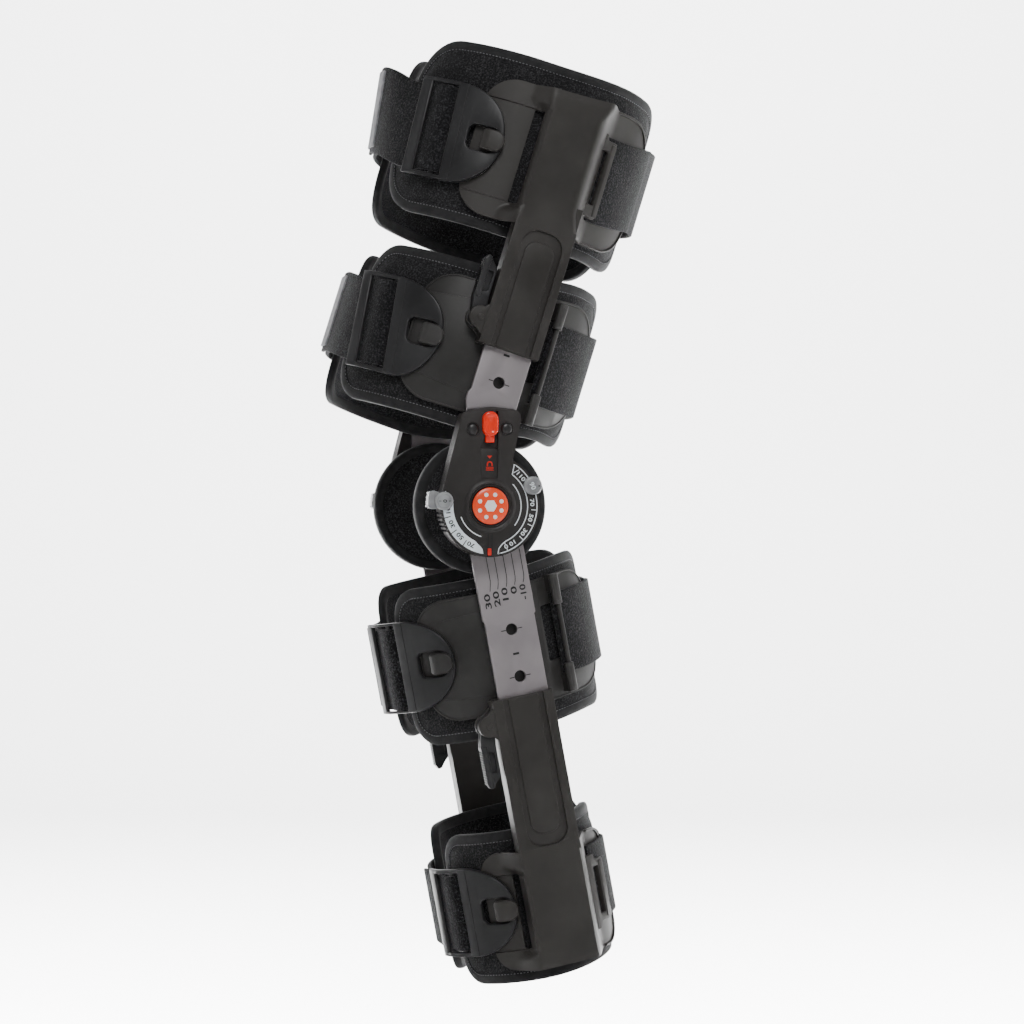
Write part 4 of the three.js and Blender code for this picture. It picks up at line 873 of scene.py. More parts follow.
def front_strap(name):
    quarter, buckle, strap = LEVELS[name]["quarter"], BUCKLES[name], STRAPS[name]

    def share(length):
        return smooth_step((buckle["front"] - length) / (quarter + buckle["front"]))

    path = front_path(name)
    bm = strap_mesh(
        name, path, strap["front"], lambda length: strap["front_rise"] * share(length),
        lambda length, height: BUCKLE_SLANT[name] * (height - strap["front"]) * (1 - share(length)),
        lambda length, height: leaning_out(name, length, height),
    )
    body = LEVELS[name]["body"]
    obj = cloth_piece(bm, f"{name}_front_strap_look", strap_loop, body, [f"{name}_front_strap"])
    return obj, path_length(name, path)


def back_strap(name):
    quarter, strap, hold = LEVELS[name]["quarter"], STRAPS[name], strap_hold(name)
    path = back_path(name)

    def rise(length):
        near = min(length, 2 * quarter - length)
        return strap["back_rise"] * smooth_step((near - hold) / (quarter - hold))

    body = LEVELS[name]["body"]
    bm = strap_mesh(name, path, strap["back"], rise)
    obj = cloth_piece(bm, f"{name}_back_strap_look", strap_loop, body, [f"{name}_back_strap"])
    return obj, path_length(name, path)


# %% Hook tabs
TAB_LONG, TAB_INSET = 14, 3


def tab_mesh(name):
    strap = STRAPS[name]
    start = -LEVELS[name]["quarter"] - TAB_PAST_FRONT
    end = start + TAB_LONG
    half = strap["width"] / 2 - TAB_INSET
    low, high = strap["front"] - half, strap["front"] + half
    out = LAYER_OUT + STRAP_THICK / 2 + 0.15
    bm = sliced(plate([box_outline(start, low, end, high, 0.8)], out, out + 1, 0.3, 2), 3)
    for vert in bm.verts:
        vert.co.z += stand_off(name, vert.co.x) + leaning_out(name, vert.co.x, vert.co.y)
        vert.co.y += strap["front_rise"]
    return wrapped(bm, name)


for name in LEVELS:
    obj, length = front_strap(name)
    if name.startswith("thigh"):
        body = LEVELS[name]["body"]
        tab = piece(tab_mesh(name), f"{name}_strap_tab_look", hook_tape, body, [f"{name}_strap_tab"])
    obj, back_length = back_strap(name)
    print(name, "strap lengths in mm:", round(length / MM), round(back_length / MM))

# %% [markdown]
# ## Buckles
# Each buckle is a D of tough acetal. Its flat side has a window for the strap, and its nose hooks over a
# peg. The D is one flat outline with a hole for the peg, wrapped round the leg. The frame's arms, the grip
# and the inner bar are beams whose section is drawn as seen from above.

# %% Buckle
NOSE_POWER = 0.92


def buckle_mesh(name):
    b = BUCKLES[name]
    mid, half = b["mid"], b["half"]
    window_half = STRAPS[name]["width"] / 2 + 1.4
    bow = b["back"] + 2
    nose = [
        (bow + (b["nose"] - bow) * math.cos(a), mid + half * squared(math.sin(a), NOSE_POWER))
        for a in np.linspace(-math.pi / 2, math.pi / 2, 29)
    ]
    outline = [(b["back"], mid - half), *nose, (b["back"], mid + half)]
    hole = box_outline(b["peg"] - 12.4, mid - 7.5, b["peg"] + 4, mid + 7.5, 4, 8)[::-1]
    dee = sliced(plate([outline, hole], BUCKLE_IN, BUCKLE_OUT, 0.9, 3), 2.5)
    ridge = plate([box_outline(b["back"] - 0.2, mid - half + 0.4, b["back"] + 5.5, mid + half - 0.4, 0.6)],
                  BUCKLE_OUT - 1, BUCKLE_OUT + 0.3, 0.28, 3)
    grip_in = LAYER_OUT + STRAP_THICK / 2 + 0.5
    grip_out = grip_in + 2.4
    parts = [dee, sliced(ridge, 2.5)]
    top = [(b["back"] + 1, BUCKLE_OUT), (b["back"] - 6, BUCKLE_OUT + 0.3 * (grip_out - BUCKLE_OUT)),
           (b["window"] + 2, grip_out), (b["front"] + 1, grip_out)]
    bottom = [(b["front"] + 1, grip_in), (b["window"] + 2, grip_in),
              (b["back"] - 6, BUCKLE_IN + 0.3 * (grip_in - BUCKLE_IN)), (b["back"] + 1, BUCKLE_IN)]
    arm = rounded([(x, y, 0.4) for x, y in reversed(top + bottom)], 3)
    for side in (-1, 1):
        low, high = sorted((mid + side * half, mid + side * window_half))
        parts.append(sliced(beam(arm, low, high, 0.5), 4))
    grip = rounded([(b["front"], grip_in, 1.0), (b["window"], grip_in, 0.5), (b["window"], grip_out, 1.1),
                    (b["front"], grip_out, 1.1)], 4)
    parts.append(beam(grip, mid - half, mid + half, 0.8, 3))
    turn_at = b["back"] - TURN_SET_IN
    bar_in = LAYER_IN + STRAP_THICK / 2 + 0.4
    inner_bar = box_outline(turn_at - 3, bar_in, turn_at + 0.8, bar_in + 2.4, 0.8)
    parts.append(beam(inner_bar, mid - half + 0.6, mid + half - 0.6, 0.2))
    for side in (-1, 1):
        low, high = sorted((mid + side * (half - 0.4), mid + side * window_half))
        parts.append(beam(box_outline(turn_at - 3, bar_in, turn_at + 1, BUCKLE_OUT, 0.4), low, high, 0.2))
    bm = merged(*parts)
    for vert in bm.verts:
        vert.co.x += BUCKLE_SLANT[name] * (vert.co.y - mid) * smooth_step((-vert.co.x - 25) / 25)
    return wrapped(bm, name)


for name in LEVELS:
    body = LEVELS[name]["body"]
    obj = piece(buckle_mesh(name), f"{name}_buckle_look", buckle_acetal, body, [f"{name}_buckle"])
print("buckles:", len(LEVELS))

# %% [markdown]
# ## Pegs, plates and rails
# The two middle plates are thin nylon sheets bent to the leg. A raised rim runs round the edge, and a
# shallow raised field crosses the middle. Behind the bar a round wire, held in two thick clips, carries
# the back strap.

# %% Middle plates
WIRE_RADIUS = 1.35


def peg_parts(name):
    b = BUCKLES[name]
    mid, at = b["mid"], b["peg"]
    head_in = BUCKLE_OUT + 0.45
    stem = plate([box_outline(at - 3, mid - 3, at + 3, mid + 3, 0.8)], 1, head_in + 1, 0)
    head_outline = rounded([
        (at - 4.4, mid - 6.2, 2), (at + 8.4, mid - 6.2, 5.4),
        (at + 8.4, mid + 6.2, 5.4), (at - 4.4, mid + 6.2, 2),
    ], 8)
    head = sliced(plate([head_outline], head_in, head_in + 2.7, 1.2, 5), 1.3)
    for vert in head.verts:
        if vert.co.z > head_in + 0.5:
            vert.co.z -= 1.3 * smooth_step((at - 0.6 - vert.co.x) / 3.8)
    return [head, stem]


def rim_ring(size, wide, low, high):
    inner = sheet_outline(size, wide)[::-1]
    return sliced(plate([sheet_outline(size), inner], low, high, 0.3, 2), 2.5)


def middle_plate(name, hooked):
    size, rail = PLATES[name], RAILS[name]
    at = rail["at"]
    window = box_outline(at - 9, rail["clip_low"], at + 1.8, rail["clip_high"], 1.5)[::-1]
    sheet = sliced(plate([sheet_outline(size), window], SEAT, PLATE_OUT - 0.35, 0.5, 2), 2.5)
    third = (size["high"] - size["low"]) * 0.19
    field = plate([[(size["front"] + 1.6, size["low"] + third + 1), (at - 14, size["low"] + third * 0.55),
                    (at - 14, size["high"] - third * 0.55), (size["front"] + 1.6, size["high"] - third)]],
                  PLATE_OUT - 1, PLATE_OUT, 0.25, 2)
    flat = merged(sheet, rim_ring(size, 1.1, SEAT, PLATE_OUT + 0.1), sliced(field, 2.5))
    for vert in flat.verts:
        vert.co.y += lift_at(vert.co.x, size["lift"])
    start, end = rail["low"] + 2, rail["high"] - 2
    wire = spun([(0, start), (WIRE_RADIUS, start), (WIRE_RADIUS, end), (0, end)], 20)
    for vert in wire.verts:
        x, y, z = vert.co
        vert.co = (at + x, z, STRAP_ROOM + 1.3 + y)
    bmesh.ops.recalc_face_normals(wire, faces=wire.faces)
    parts = [flat, wire]
    for low, high in ((rail["low"], rail["clip_low"] - 1), (rail["clip_high"] + 1, rail["high"])):
        clip = box_outline(at - 3.4, STRAP_ROOM - 0.2, at + 2.4, STRAP_ROOM + 3.2, 1.6, 5)
        swelling = box_outline(at - 1.8, STRAP_ROOM, at + 1.9, STRAP_ROOM + 3.4, 1.2, 5)
        parts += [beam(clip, low, high, 0.5), beam(swelling, low + 2, high - 2, 0.5)]
    half = STRAPS[name]["width"] / 2 + 0.9
    middle = STRAPS[name]["back"]
    foot = box_outline(at - 3, 1.3, at + 2, STRAP_ROOM + 1, 0.3)
    for low, high in ((rail["low"], middle - half), (middle + half, rail["high"])):
        parts.append(beam(foot, low + 0.2, high - 0.2, 0.2))
    if hooked:
        parts += peg_parts(name)
    return wrapped(merged(*parts), name)


for name, node in (("thigh_mid", "thigh_plate"), ("calf_mid", "calf_plate")):
    body = LEVELS[name]["body"]
    pair(lambda side: middle_plate(name, side == "lateral"), node, plate_nylon, body, [node], "shell")

# %% [markdown]
# ## Bars
# The bars are cut from flat aluminium. The upper one steps outward just above the dial, so that it clears
# the plate above the knee: the flat outline is sliced across and pushed out along a smooth ramp.

# %% Bars
BAR_PINS = 23
HOLE_RADIUS, THIGH_HOLE, CALF_HOLE_U, CALF_HOLES = 3.4, (1.6, 14.6), 3.1, (-73.6, -101.4)
STEP_FROM, STEP_RUN = 44.5, 11.5


def thigh_point(u, v):
    place = lean("thigh", u, 0, v) / MM
    return place.x, place.z


def thigh_bar(side):
    outline = [
        (-12.5, 0), (13.5, 0), (13.5, 44),
        thigh_point(16.2, 2), thigh_point(16.2, 127), thigh_point(13.2, 130),
        thigh_point(-10, 130), thigh_point(-13, 127), thigh_point(-13, 7), thigh_point(-14.2, 4.6),
        thigh_point(-14.2, 0), (-12.5, 44),
    ]
    hole = circle(*thigh_point(*THIGH_HOLE), HOLE_RADIUS, 32)[::-1]
    bar = plate([outline, hole], 0, BAR_THICK, 0.45, 3)
    for height in np.linspace(43, 58, 16):
        cut_across(bar, 1, height)
    for vert in bar.verts:
        vert.co.z += (THIGH_BAR_IN - HINGE_BAR_IN) * min(1, max(0, (vert.co.y - STEP_FROM) / STEP_RUN))
    disc = plate([circle(0, 0, BAR_PINS)], 0, BAR_THICK, 0.4)
    whole = merged(bar, disc)
    bmesh.ops.translate(whole, verts=whole.verts, vec=(0, 0, HINGE_BAR_IN))
    return stood(whole, "knee")


def calf_bar(side):
    left, right, end = -12.1, 18.3, -200
    outline = rounded([
        (left - 0.8, 0, 0), (left - 0.8, -66, 0), (left, -67, 0), (left, end, 3),
        (right, end, 3), (right, -67, 0), (right + 0.8, -66, 0), (right + 0.8, 0, 0),
    ])
    holes = [circle(CALF_HOLE_U, v, HOLE_RADIUS, 32)[::-1] for v in CALF_HOLES]
    bar = plate([outline, *holes], CALF_BAR_IN, CALF_BAR_IN + BAR_THICK, 0.45, 3)
    disc = plate([circle(0, 0, BAR_PINS)], CALF_BAR_IN, CALF_BAR_IN + BAR_THICK, 0.4)
    return stood(merged(bar, disc), "calf")


pair(thigh_bar, "thigh_bar", bar_metal, "thigh_section", ["thigh_bar"], "bar")
pair(calf_bar, "calf_bar", bar_metal, "calf_section", ["calf_bar"], "bar")

# %% [markdown]
# ## Shells and sleeves
# The top and bottom shells are single mouldings. The part over the bar stands up like a spine and melts into
# the wings. So the wings and spine are one sheet: its outline is sliced into a grid, the spine's strip is
# lifted to one flat plane, and smooth ramps blend it into the curve on both sides.

# %% Shell sheet
SHELLS = {
    "thigh_top": dict(
        sign=1, mouth=33, front=-18.2, spine_front=-17.6, back=18.8, slot=(-23.6, -19), join=105.4,
        panel=72.3, groove=66, soften=5,
    ),
    "calf_low": dict(
        sign=-1, mouth=-112, front=-17.6, spine_front=-16.4, back=19.4, slot=(-20.6, -17.8), join=-201.6,
        panel=89, groove=82, soften=0,
    ),
}
SLOT_INSET_LOW, SLOT_INSET_HIGH, SHEET_THICK = 12, 14, 2.3


def shell_sheet(name):
    size, shell, level = PLATES[name], SHELLS[name], LEVELS[name]
    face, (slot_front, slot_back) = FACE[level["frame"]], shell["slot"]
    low, high = size["low"], size["high"]
    slot_low, slot_high = low + SLOT_INSET_LOW, high - SLOT_INSET_HIGH
    slot = box_outline(slot_front - level["middle"], slot_low, slot_back - level["middle"], slot_high, 0.8)
    bm = plate([sheet_outline(size), slot[::-1]], -1, 0, 0)
    bmesh.ops.delete(bm, geom=[f for f in bm.faces if f.normal.z < 0.5], context="FACES")
    sliced(bm, 1.8, (0, 1))
    for height in (slot_low - 0.5, slot_low, slot_high, slot_high + 0.5):
        cut_across(bm, 1, height)
    for vert in bm.verts:
        length, height, _ = vert.co
        in_field = slot_low - 0.1 < height < slot_high + 0.1
        past_slot = smooth_step(max(slot_low - height, height - slot_high, 0) / 6)
        edge = min(height - low, high - height)
        height += lift_at(length, size["lift"])
        u, depth, _ = round_leg(level, length, height, PLATE_OUT)
        if in_field and u < slot_front + 3:
            u, depth, _ = round_leg(level, length, height, PLATE_OUT - 0.8)
        spine_front = shell["spine_front"] + (shell["front"] - shell["spine_front"]) * past_slot
        rise_from = spine_front - 2.6 - 8 * past_slot
        rise_to = spine_front - 0.4 + 1.4 * past_slot
        fall_from = shell["back"] - 2 - shell["soften"] * smooth_step(edge / 16)
        fall_to = shell["back"] + 9
        share = smooth_step((u - rise_from) / (rise_to - rise_from))
        share *= smooth_step((fall_to - u) / (fall_to - fall_from))
        at_sleeve = abs(height - shell["join"]) < 14 and shell["front"] < u < shell["back"]
        roll = 0 if at_sleeve else 1.3 * (1 - smooth_step(edge / 3)) * share
        vert.co = (u, height, depth + (face + 0.04 - depth) * share - roll)
    return bm


def shell_wings(name):
    bm = stood(shell_sheet(name), LEVELS[name]["frame"])
    bmesh.ops.recalc_face_normals(bm, faces=bm.faces)
    outward = sum(face.normal.y for face in bm.faces)
    if outward > 0:
        bmesh.ops.reverse_faces(bm, faces=bm.faces)
    bmesh.ops.solidify(bm, geom=bm.faces[:], thickness=SHEET_THICK * MM)
    bmesh.ops.recalc_face_normals(bm, faces=bm.faces)
    return bm


# %% [markdown]
# ### Sleeves
# Below the wings the spine becomes a straight sleeve for the bar. Its face has a long arched recess that
# runs out at the mouth, with a second arch inside it. Round ears at one edge hold the latch's pin.

# %% Sleeve
LATCH_PIN_U, LATCH_FROM_MOUTH, LATCH_LOBE = -21.3, 14, 6.6
SLEEVE_LONG, SLEEVE_WALL = 92, 1.6
PANEL_FRONT, PANEL_BACK, ARCH_FRONT, ARCH_BACK = -11.2, 13.6, -8, 10.4


def flipped(points, sign):
    return points if sign > 0 else [(x, -y) for x, y in points][::-1]


def sleeve_parts(name):
    shell, level = SHELLS[name], LEVELS[name]
    sign, face, wall = shell["sign"], FACE[level["frame"]], WALL_IN[level["frame"]]
    mouth, front, back = abs(shell["mouth"]), shell["front"], shell["back"]
    top, rise = mouth + SLEEVE_LONG, abs(shell["join"]) + 5
    panel_top, groove_top = mouth + shell["panel"], mouth + shell["groove"]
    pin = mouth + LATCH_FROM_MOUTH
    u_frame = rounded([
        (front, mouth, 0.8), (PANEL_FRONT, mouth, 0.3), (PANEL_FRONT, panel_top, 9.5),
        (PANEL_BACK, panel_top, 9.5), (PANEL_BACK, mouth, 0.3), (back, mouth, 0.8), (back, rise, 0),
        (front, rise, 0),
    ], 9)
    slab = [(front + 0.1, mouth + 0.1), (back - 0.1, mouth + 0.1), (back - 0.1, top), (front + 0.1, top)]
    arch = rounded([
        (ARCH_FRONT, mouth + 0.3, 0), (ARCH_BACK, mouth + 0.3, 0),
        (ARCH_BACK, groove_top, 7.6), (ARCH_FRONT, groove_top, 7.6),
    ], 9)
    over_lobe = pin + LATCH_LOBE
    ear = [
        *arc(LATCH_PIN_U, pin, LATCH_LOBE, 80, 262, 15),
        (front + 2, mouth + 2.5), (front + 2, over_lobe + 3.5), (front - 1.2, over_lobe + 1.2),
    ]
    front_wall = [(front, mouth), (front + SLEEVE_WALL, mouth), (front + SLEEVE_WALL, rise), (front, rise)]
    back_wall = [(back - SLEEVE_WALL, mouth), (back, mouth), (back, rise), (back - SLEEVE_WALL, rise)]
    layers = [
        (u_frame, face - 2.2, face, 0.7, 3),
        (arch, face - 2.2, face - 0.8, 0.7, 3),
        (slab, face - 4.6, face - 1.5, 0.3),
        (front_wall, wall, face - 0.6, 0),
        (back_wall, wall, face - 0.6, 0),
        (slab, wall - 1.5, wall + 1.2, 0.3),
        (ear, wall - 1.5, wall + 0.8, 0.5, 2),
        (ear, face - 2.6, face - 0.3, 0.7, 3),
        (circle(LATCH_PIN_U, pin, 1.9, 24), wall - 1, face + 0.15, 0.35, 2),
    ]
    return [plate([flipped(outline, sign)], *levels) for outline, *levels in layers]


def loop_parts(name):
    loop = LOOPS[name]
    front, bar, back = loop["front"], loop["bar"], loop["back"]
    low, high = loop["low"], loop["high"]
    outline = rounded([
        (front - 12, low - 1, 1), (front - 1, low - 1, 1.5), (front + 0.5, low + 3, 1),
        (back - 1, low + 2.5, 1.2), (back, high - 3.5, 1.2),
        (front + 2.5, high - 3.5, 1), (front + 1.5, high, 1), (front - 12, high, 1),
    ], 4)
    window = box_outline(front, loop["window_low"], bar, loop["window_high"], 0.8)[::-1]
    frame_plate = plate([outline, window], STRAP_ROOM, STRAP_ROOM + 2.7, 0.8, 3)
    lip_outline = box_outline(bar + 0.6, low + 4, back - 0.2, high - 5, 0.8)
    lip = plate([lip_outline], STRAP_ROOM + 1, STRAP_ROOM + 3.1, 0.5, 2)
    root = plate([box_outline(front - 11, low, front - 3.5, high - 1, 0.5)], 1.3, STRAP_ROOM + 1.6, 0.3)
    return [sliced(frame_plate, 3), sliced(lip, 3), sliced(root, 3)]


def shell(name, hooked):
    size = PLATES[name]
    rim = rim_ring(size, 1.3, PLATE_OUT - 0.6, PLATE_OUT + 0.9)
    bmesh.ops.delete(rim, geom=[v for v in rim.verts if v.co.x < 33], context="VERTS")
    for vert in rim.verts:
        vert.co.y += lift_at(vert.co.x, size["lift"])
    parts = [rim, *loop_parts(name)]
    if hooked:
        parts += peg_parts(name)
    sleeve = stood(merged(*sleeve_parts(name)), LEVELS[name]["frame"])
    return merged(shell_wings(name), sleeve, wrapped(merged(*parts), name))


for name, kind in (("thigh_top", "thigh"), ("calf_low", "calf")):
    pair(lambda side: shell(name, side == "lateral"), f"{kind}_shell", shell_nylon, f"{kind}_cuff",
         [f"{kind}_shell"], "shell")

# %% [markdown]
# ## Latch levers
# A lever pivots between the ears of each sleeve. Its outer edge has fine ribs for the thumb, and a thin
# hook of a spring arm shows inside it.

# %% Levers
def lever(kind):
    name = "thigh_top" if kind == "thigh" else "calf_low"
    shell_size = SHELLS[name]
    sign, mouth = shell_size["sign"], abs(shell_size["mouth"])
    pin = mouth + LATCH_FROM_MOUTH
    tip = pin + 35.5
    inner, outer = WALL_IN[kind] + 0.8, FACE[kind] - 2.9
    outer_u, inner_u = -28.5, -19
    ribs = []
    for i in range(14):
        top = tip - 1.8 - i * 1.5
        ribs += [(outer_u + 0.45, top, 0), (outer_u, top - 0.35, 0), (outer_u, top - 1.05, 0)]
    grip = [
        (outer_u + 1.6, tip + 0.5, 0.8), *ribs, (outer_u, tip - 24.4, 2), (outer_u + 3.6, tip - 24.4, 0.8),
        (outer_u + 4.2, tip + 0.5, 1.2),
    ]
    arm = rounded([
        (outer_u + 1.4, tip, 0.8), *ribs, (outer_u, tip - 24, 2), (outer_u + 2, pin + 1, 1),
        (LATCH_PIN_U - 2, pin - 2, 0), (LATCH_PIN_U + 3, pin + 2, 0),
        (inner_u - 0.4, pin + 12, 1), (inner_u - 0.4, tip - 6, 0.6),
        (inner_u - 2.2, tip - 4.4, 1), (inner_u - 4, tip - 2.4, 1), (inner_u - 5.6, tip, 0.8),
    ], 4)
    window = rounded([
        (outer_u + 2.4, tip - 8, 0.6), (outer_u + 2.4, tip - 21.5, 0.8), (inner_u - 2, tip - 20, 1.2),
        (inner_u - 2, tip - 8, 1.2),
    ], 4)
    spring_arm = box_outline(inner_u - 6.2, tip - 20, inner_u - 5.2, tip - 9, 0.3)
    parts = [
        plate([flipped(arm, sign), flipped(window, sign)[::-1]], inner, outer, 0.5, 2),
        plate([flipped(rounded(grip, 4), sign)], inner + 1, outer + 0.7, 0.35, 2),
        plate([flipped(arm, sign)], inner + 0.6, outer - 2.2, 0),
        plate([flipped(circle(LATCH_PIN_U, pin, LATCH_LOBE - 0.8), sign)], inner, outer, 0.3),
        plate([flipped(spring_arm, sign)], inner + 1, outer - 0.6, 0.2),
    ]
    return stood(merged(*parts), kind)


for kind in ("thigh", "calf"):
    pair(lambda side: lever(kind), f"{kind}_lever", lever_nylon, f"{kind}_lever", [f"{kind}_lever"], "shell")

# %% [markdown]
# ## Dial
# The cover is one moulding over both bars. Its outline has a round foot and a leaning neck. The slider's
# slot is a real hole in a thick top sheet, with a floor under it. Teeth on the lower rim hold the stops.

# %% Dial cover
COVER_RADIUS, BADGE_RADIUS = 29.5, 10.6
SLOT_FRONT, SLOT_BACK, SLOT_LOW, SLOT_STEP, SLOT_HIGH = -5.8, 4.9, 15.6, 33.5, 54.9
RIVETS = ((-10.3, 44.1), (9.7, 44.5))
FOOT_START, NECK_START = -111.5, 152.7


def polar(radius, angle):
    """Angles are in degrees from straight down, positive to the back."""
    turn = math.radians(angle)
    return radius * math.sin(turn), -radius * math.cos(turn)


def ring_points(radius, start, end, count=24):
    return [polar(radius, angle) for angle in np.linspace(start, end, count)]


def cover_outline(inset=0.0, teeth=True):
    rim = COVER_RADIUS - inset
    neck = rounded([
        (*polar(rim, NECK_START), 0), (19.6 - inset, 55.0 - inset, 5.2), (-1, 57.4 - inset, 24),
        (-16.2 + inset, 53.6 - inset, 2.6), (*polar(rim, FOOT_START), 0),
    ], 8)
    foot = ring_points(rim, FOOT_START, -84, 10)
    for angle in np.arange(-82, -56, 5.2):
        deep = 1.3 if teeth else 0
        foot += [polar(rim, angle - 1.3), polar(rim - deep, angle - 1.0), polar(rim - deep, angle + 1.0),
                 polar(rim, angle + 1.3)]
    return [*neck, *foot, *ring_points(rim, -54, NECK_START, 60)[:-1]]


def over(level, section):
    return [(radius, level + out) for radius, out in section]


def dial_cover(side):
    slot_top = box_outline(SLOT_FRONT, SLOT_STEP, SLOT_BACK, SLOT_HIGH, 1.2)
    slot_low = rounded([(SLOT_FRONT, SLOT_STEP + 0.5, 0), (SLOT_FRONT + 0.4, SLOT_LOW, 0.6),
                        (SLOT_BACK - 0.4, SLOT_LOW, 0.6), (SLOT_BACK, SLOT_STEP + 0.5, 0)], 4)
    whole_slot = [*slot_low[1:-1], (SLOT_BACK, SLOT_STEP), *slot_top[6:18], (SLOT_FRONT, SLOT_STEP)]
    well = circle(0, 0, 12.2, 48)
    face = plate([cover_outline(), whole_slot[::-1], well[::-1]], COVER_OUT - 3, COVER_OUT, 0.9, 3)
    wall = plate([cover_outline(0.1)], COVER_IN, COVER_OUT - 2.6, 0)
    floor = plate([box_outline(-6.5, 14.5, 6, SLOT_STEP - 0.4, 0)], COVER_OUT - 2.8, COVER_OUT - 0.9, 0.4, 2)
    parts = [face, wall, floor]
    boss = [
        (11.0, -2.6), (11.0, -0.2), (11.5, 0.35), (11.9, 0.35), (12.2, -0.5), (12.5, -0.5), (12.9, 0.7),
        (13.6, 0.95), (14.6, 0.7), (15.7, -0.3),
    ]
    parts.append(spun(over(COVER_OUT, boss), 64))
    parts.append(spun(over(COVER_OUT, [(0, -2.4), (11.2, -2.4)]), 40))
    for place in RIVETS:
        parts.append(spun(over(COVER_OUT, [(3.5, -0.4), (3.7, 0.3), (4.1, 0.3), (4.4, -0.3)]), 32, place))
    foot, end = Vector(polar(COVER_RADIUS, FOOT_START)), Vector((-16.4, 50.6))
    start = foot.lerp(end, 0.04)
    outward, inward = Vector((-0.28, 0.1)), Vector((0.6, 0))
    rib = [tuple(start + outward), tuple(start + inward), tuple(end + inward), tuple(end + outward)]
    for i in range(9):
        depth = COVER_IN + 1.2 + i * 1.12
        parts.append(plate([rib], depth, depth + 0.6, 0))
    return stood(merged(*parts), "knee")


def rivet_domes(side):
    dome = over(COVER_OUT, [(3.45, -1), (3.45, 0.2), (3.1, 0.9), (2.3, 1.35), (1.2, 1.6), (0, 1.68)])
    return stood(merged(*[spun(dome, 32, place) for place in RIVETS]), "knee")


def pivot_pin(side):
    head = over(CALF_BAR_IN, [(0, -1.4), (8, -1.4), (8.8, -0.9), (8.8, -0.3), (4, -0.3)])
    shank = over(COVER_IN, [(4, 0.8), (0, 0.8)])
    return stood(spun([*head, *shank], 40), "knee")


pair(dial_cover, "dial_cover", dial_nylon, "thigh_section", ["dial_cover"], "dial", 32)
pair(rivet_domes, "dial_rivets", blackened_steel, "thigh_section", (), "dial")
pair(pivot_pin, "pivot_pin", blackened_steel, "thigh_section", (), "dial")

# %% [markdown]
# ### Badge, slider and stops
# The badge is a shallow dome spun like the boss, with a ring of eight dots round a hexagon. The slider's
# knob is a long button with a dished face. Each range stop is a round button with a claw over the rim.

# %% Badge and slider
def badge_disc(side):
    dome = [
        (0, 0), (BADGE_RADIUS, 0), (BADGE_RADIUS, 0.5), (10.2, 0.85), (8, 1.15), (4, 1.3), (0, 1.32),
    ]
    return stood(spun(over(COVER_OUT + 0.1, dome), 56), "knee")


def badge_motif(side):
    low = COVER_OUT + 1.0
    parts = [plate([circle(*polar(6.9, 22.5 + 45 * i), 1.25, 20)], low, low + 0.42, 0.1, 1) for i in range(8)]
    parts.append(plate([circle(0, 0, 3.7, 6)], low, low + 0.48, 0.15, 2))
    return stood(merged(*parts), "knee")


def dished(outline, low, high, dish, bevel=0.9):
    bm = plate([outline], low, high, bevel, 4)
    top = [face for face in bm.faces if face.normal.z > 0.99]
    ring = bmesh.ops.inset_region(bm, faces=top, thickness=1.0, depth=-dish * 0.5)
    top = [face for face in bm.faces if face.normal.z > 0.99 and face not in ring["faces"]]
    bmesh.ops.inset_region(bm, faces=top, thickness=0.8, depth=-dish * 0.5)
    return bm


def lock_slider(side):
    floor = COVER_OUT - 1.3
    knob = dished(box_outline(-4.8, 40, 4.3, 54.3, 4.2, 10), floor, COVER_OUT + 3.4, 0.7, 1.3)
    stem = plate([box_outline(-2.8, 36.4, 2.4, 44, 0.5)], floor, COVER_OUT + 0.6, 0.4, 2)
    return stood(merged(knob, stem), "knee")


pair(badge_disc, "badge", badge_orange, "thigh_section", ["badge"], "badge")
pair(badge_motif, "badge_motif", badge_white, "thigh_section", (), "badge")
pair(lock_slider, "lock_slider", slider_red, "lock_slider", ["lock_slider"], "slider", 50)

# %% Range stops
STOP_REACH, STOP_BUTTON, STOP_RISE = 27.7, 5.4, 2.2
FLEXION_AT, EXTENSION_AT = 115, -95.8


def sector(inner, outer, middle, half, count=7, radius=0.8):
    corners = []
    for reach, start, end, corner in (
        (outer, middle - half, middle + half, radius), (inner, middle + half, middle - half, 0.3),
    ):
        between = ring_points(reach, start, end, count)[1:-1]
        corners += [(*polar(reach, start), corner), *[(*p, 0) for p in between], (*polar(reach, end), corner)]
    return rounded(corners, 4)


def range_stop(angle, knobbed):
    face = COVER_OUT + 0.3
    centre = polar(STOP_REACH, angle)
    rim = [
        (0, 0), (STOP_BUTTON, 0), (STOP_BUTTON, 1.5), (5.1, 2.0), (4.6, STOP_RISE), (4.1, 2.1), (3.8, 1.75),
        (0, 1.75),
    ]
    claw = sector(COVER_RADIUS + 0.6, COVER_RADIUS + 2.5, angle, 8)
    parts = [spun(over(face, rim), 40, centre), plate([claw], COVER_IN + 3, face + 1.6, 0.5, 3, True)]
    if knobbed:
        knob = sector(COVER_RADIUS + 1.6, COVER_RADIUS + 7, angle, 9, 7, 2.2)
        parts.append(plate([knob], COVER_IN + 4.4, face - 0.6, 1.1, 4, True))
        for turn in (-6, -2, 2, 6):
            rib = sector(COVER_RADIUS + 6.6, COVER_RADIUS + 7.35, angle + turn, 0.7, 3, 0.1)
            parts.append(plate([rib], COVER_IN + 5.4, face - 1.8, 0.2, 1))
    return stood(merged(*parts), "knee")


for name, angle in (("flexion_stop", FLEXION_AT), ("extension_stop", EXTENSION_AT)):
    pair(lambda side: range_stop(angle, angle < 0), name, stop_clear, name, [name], "stop")

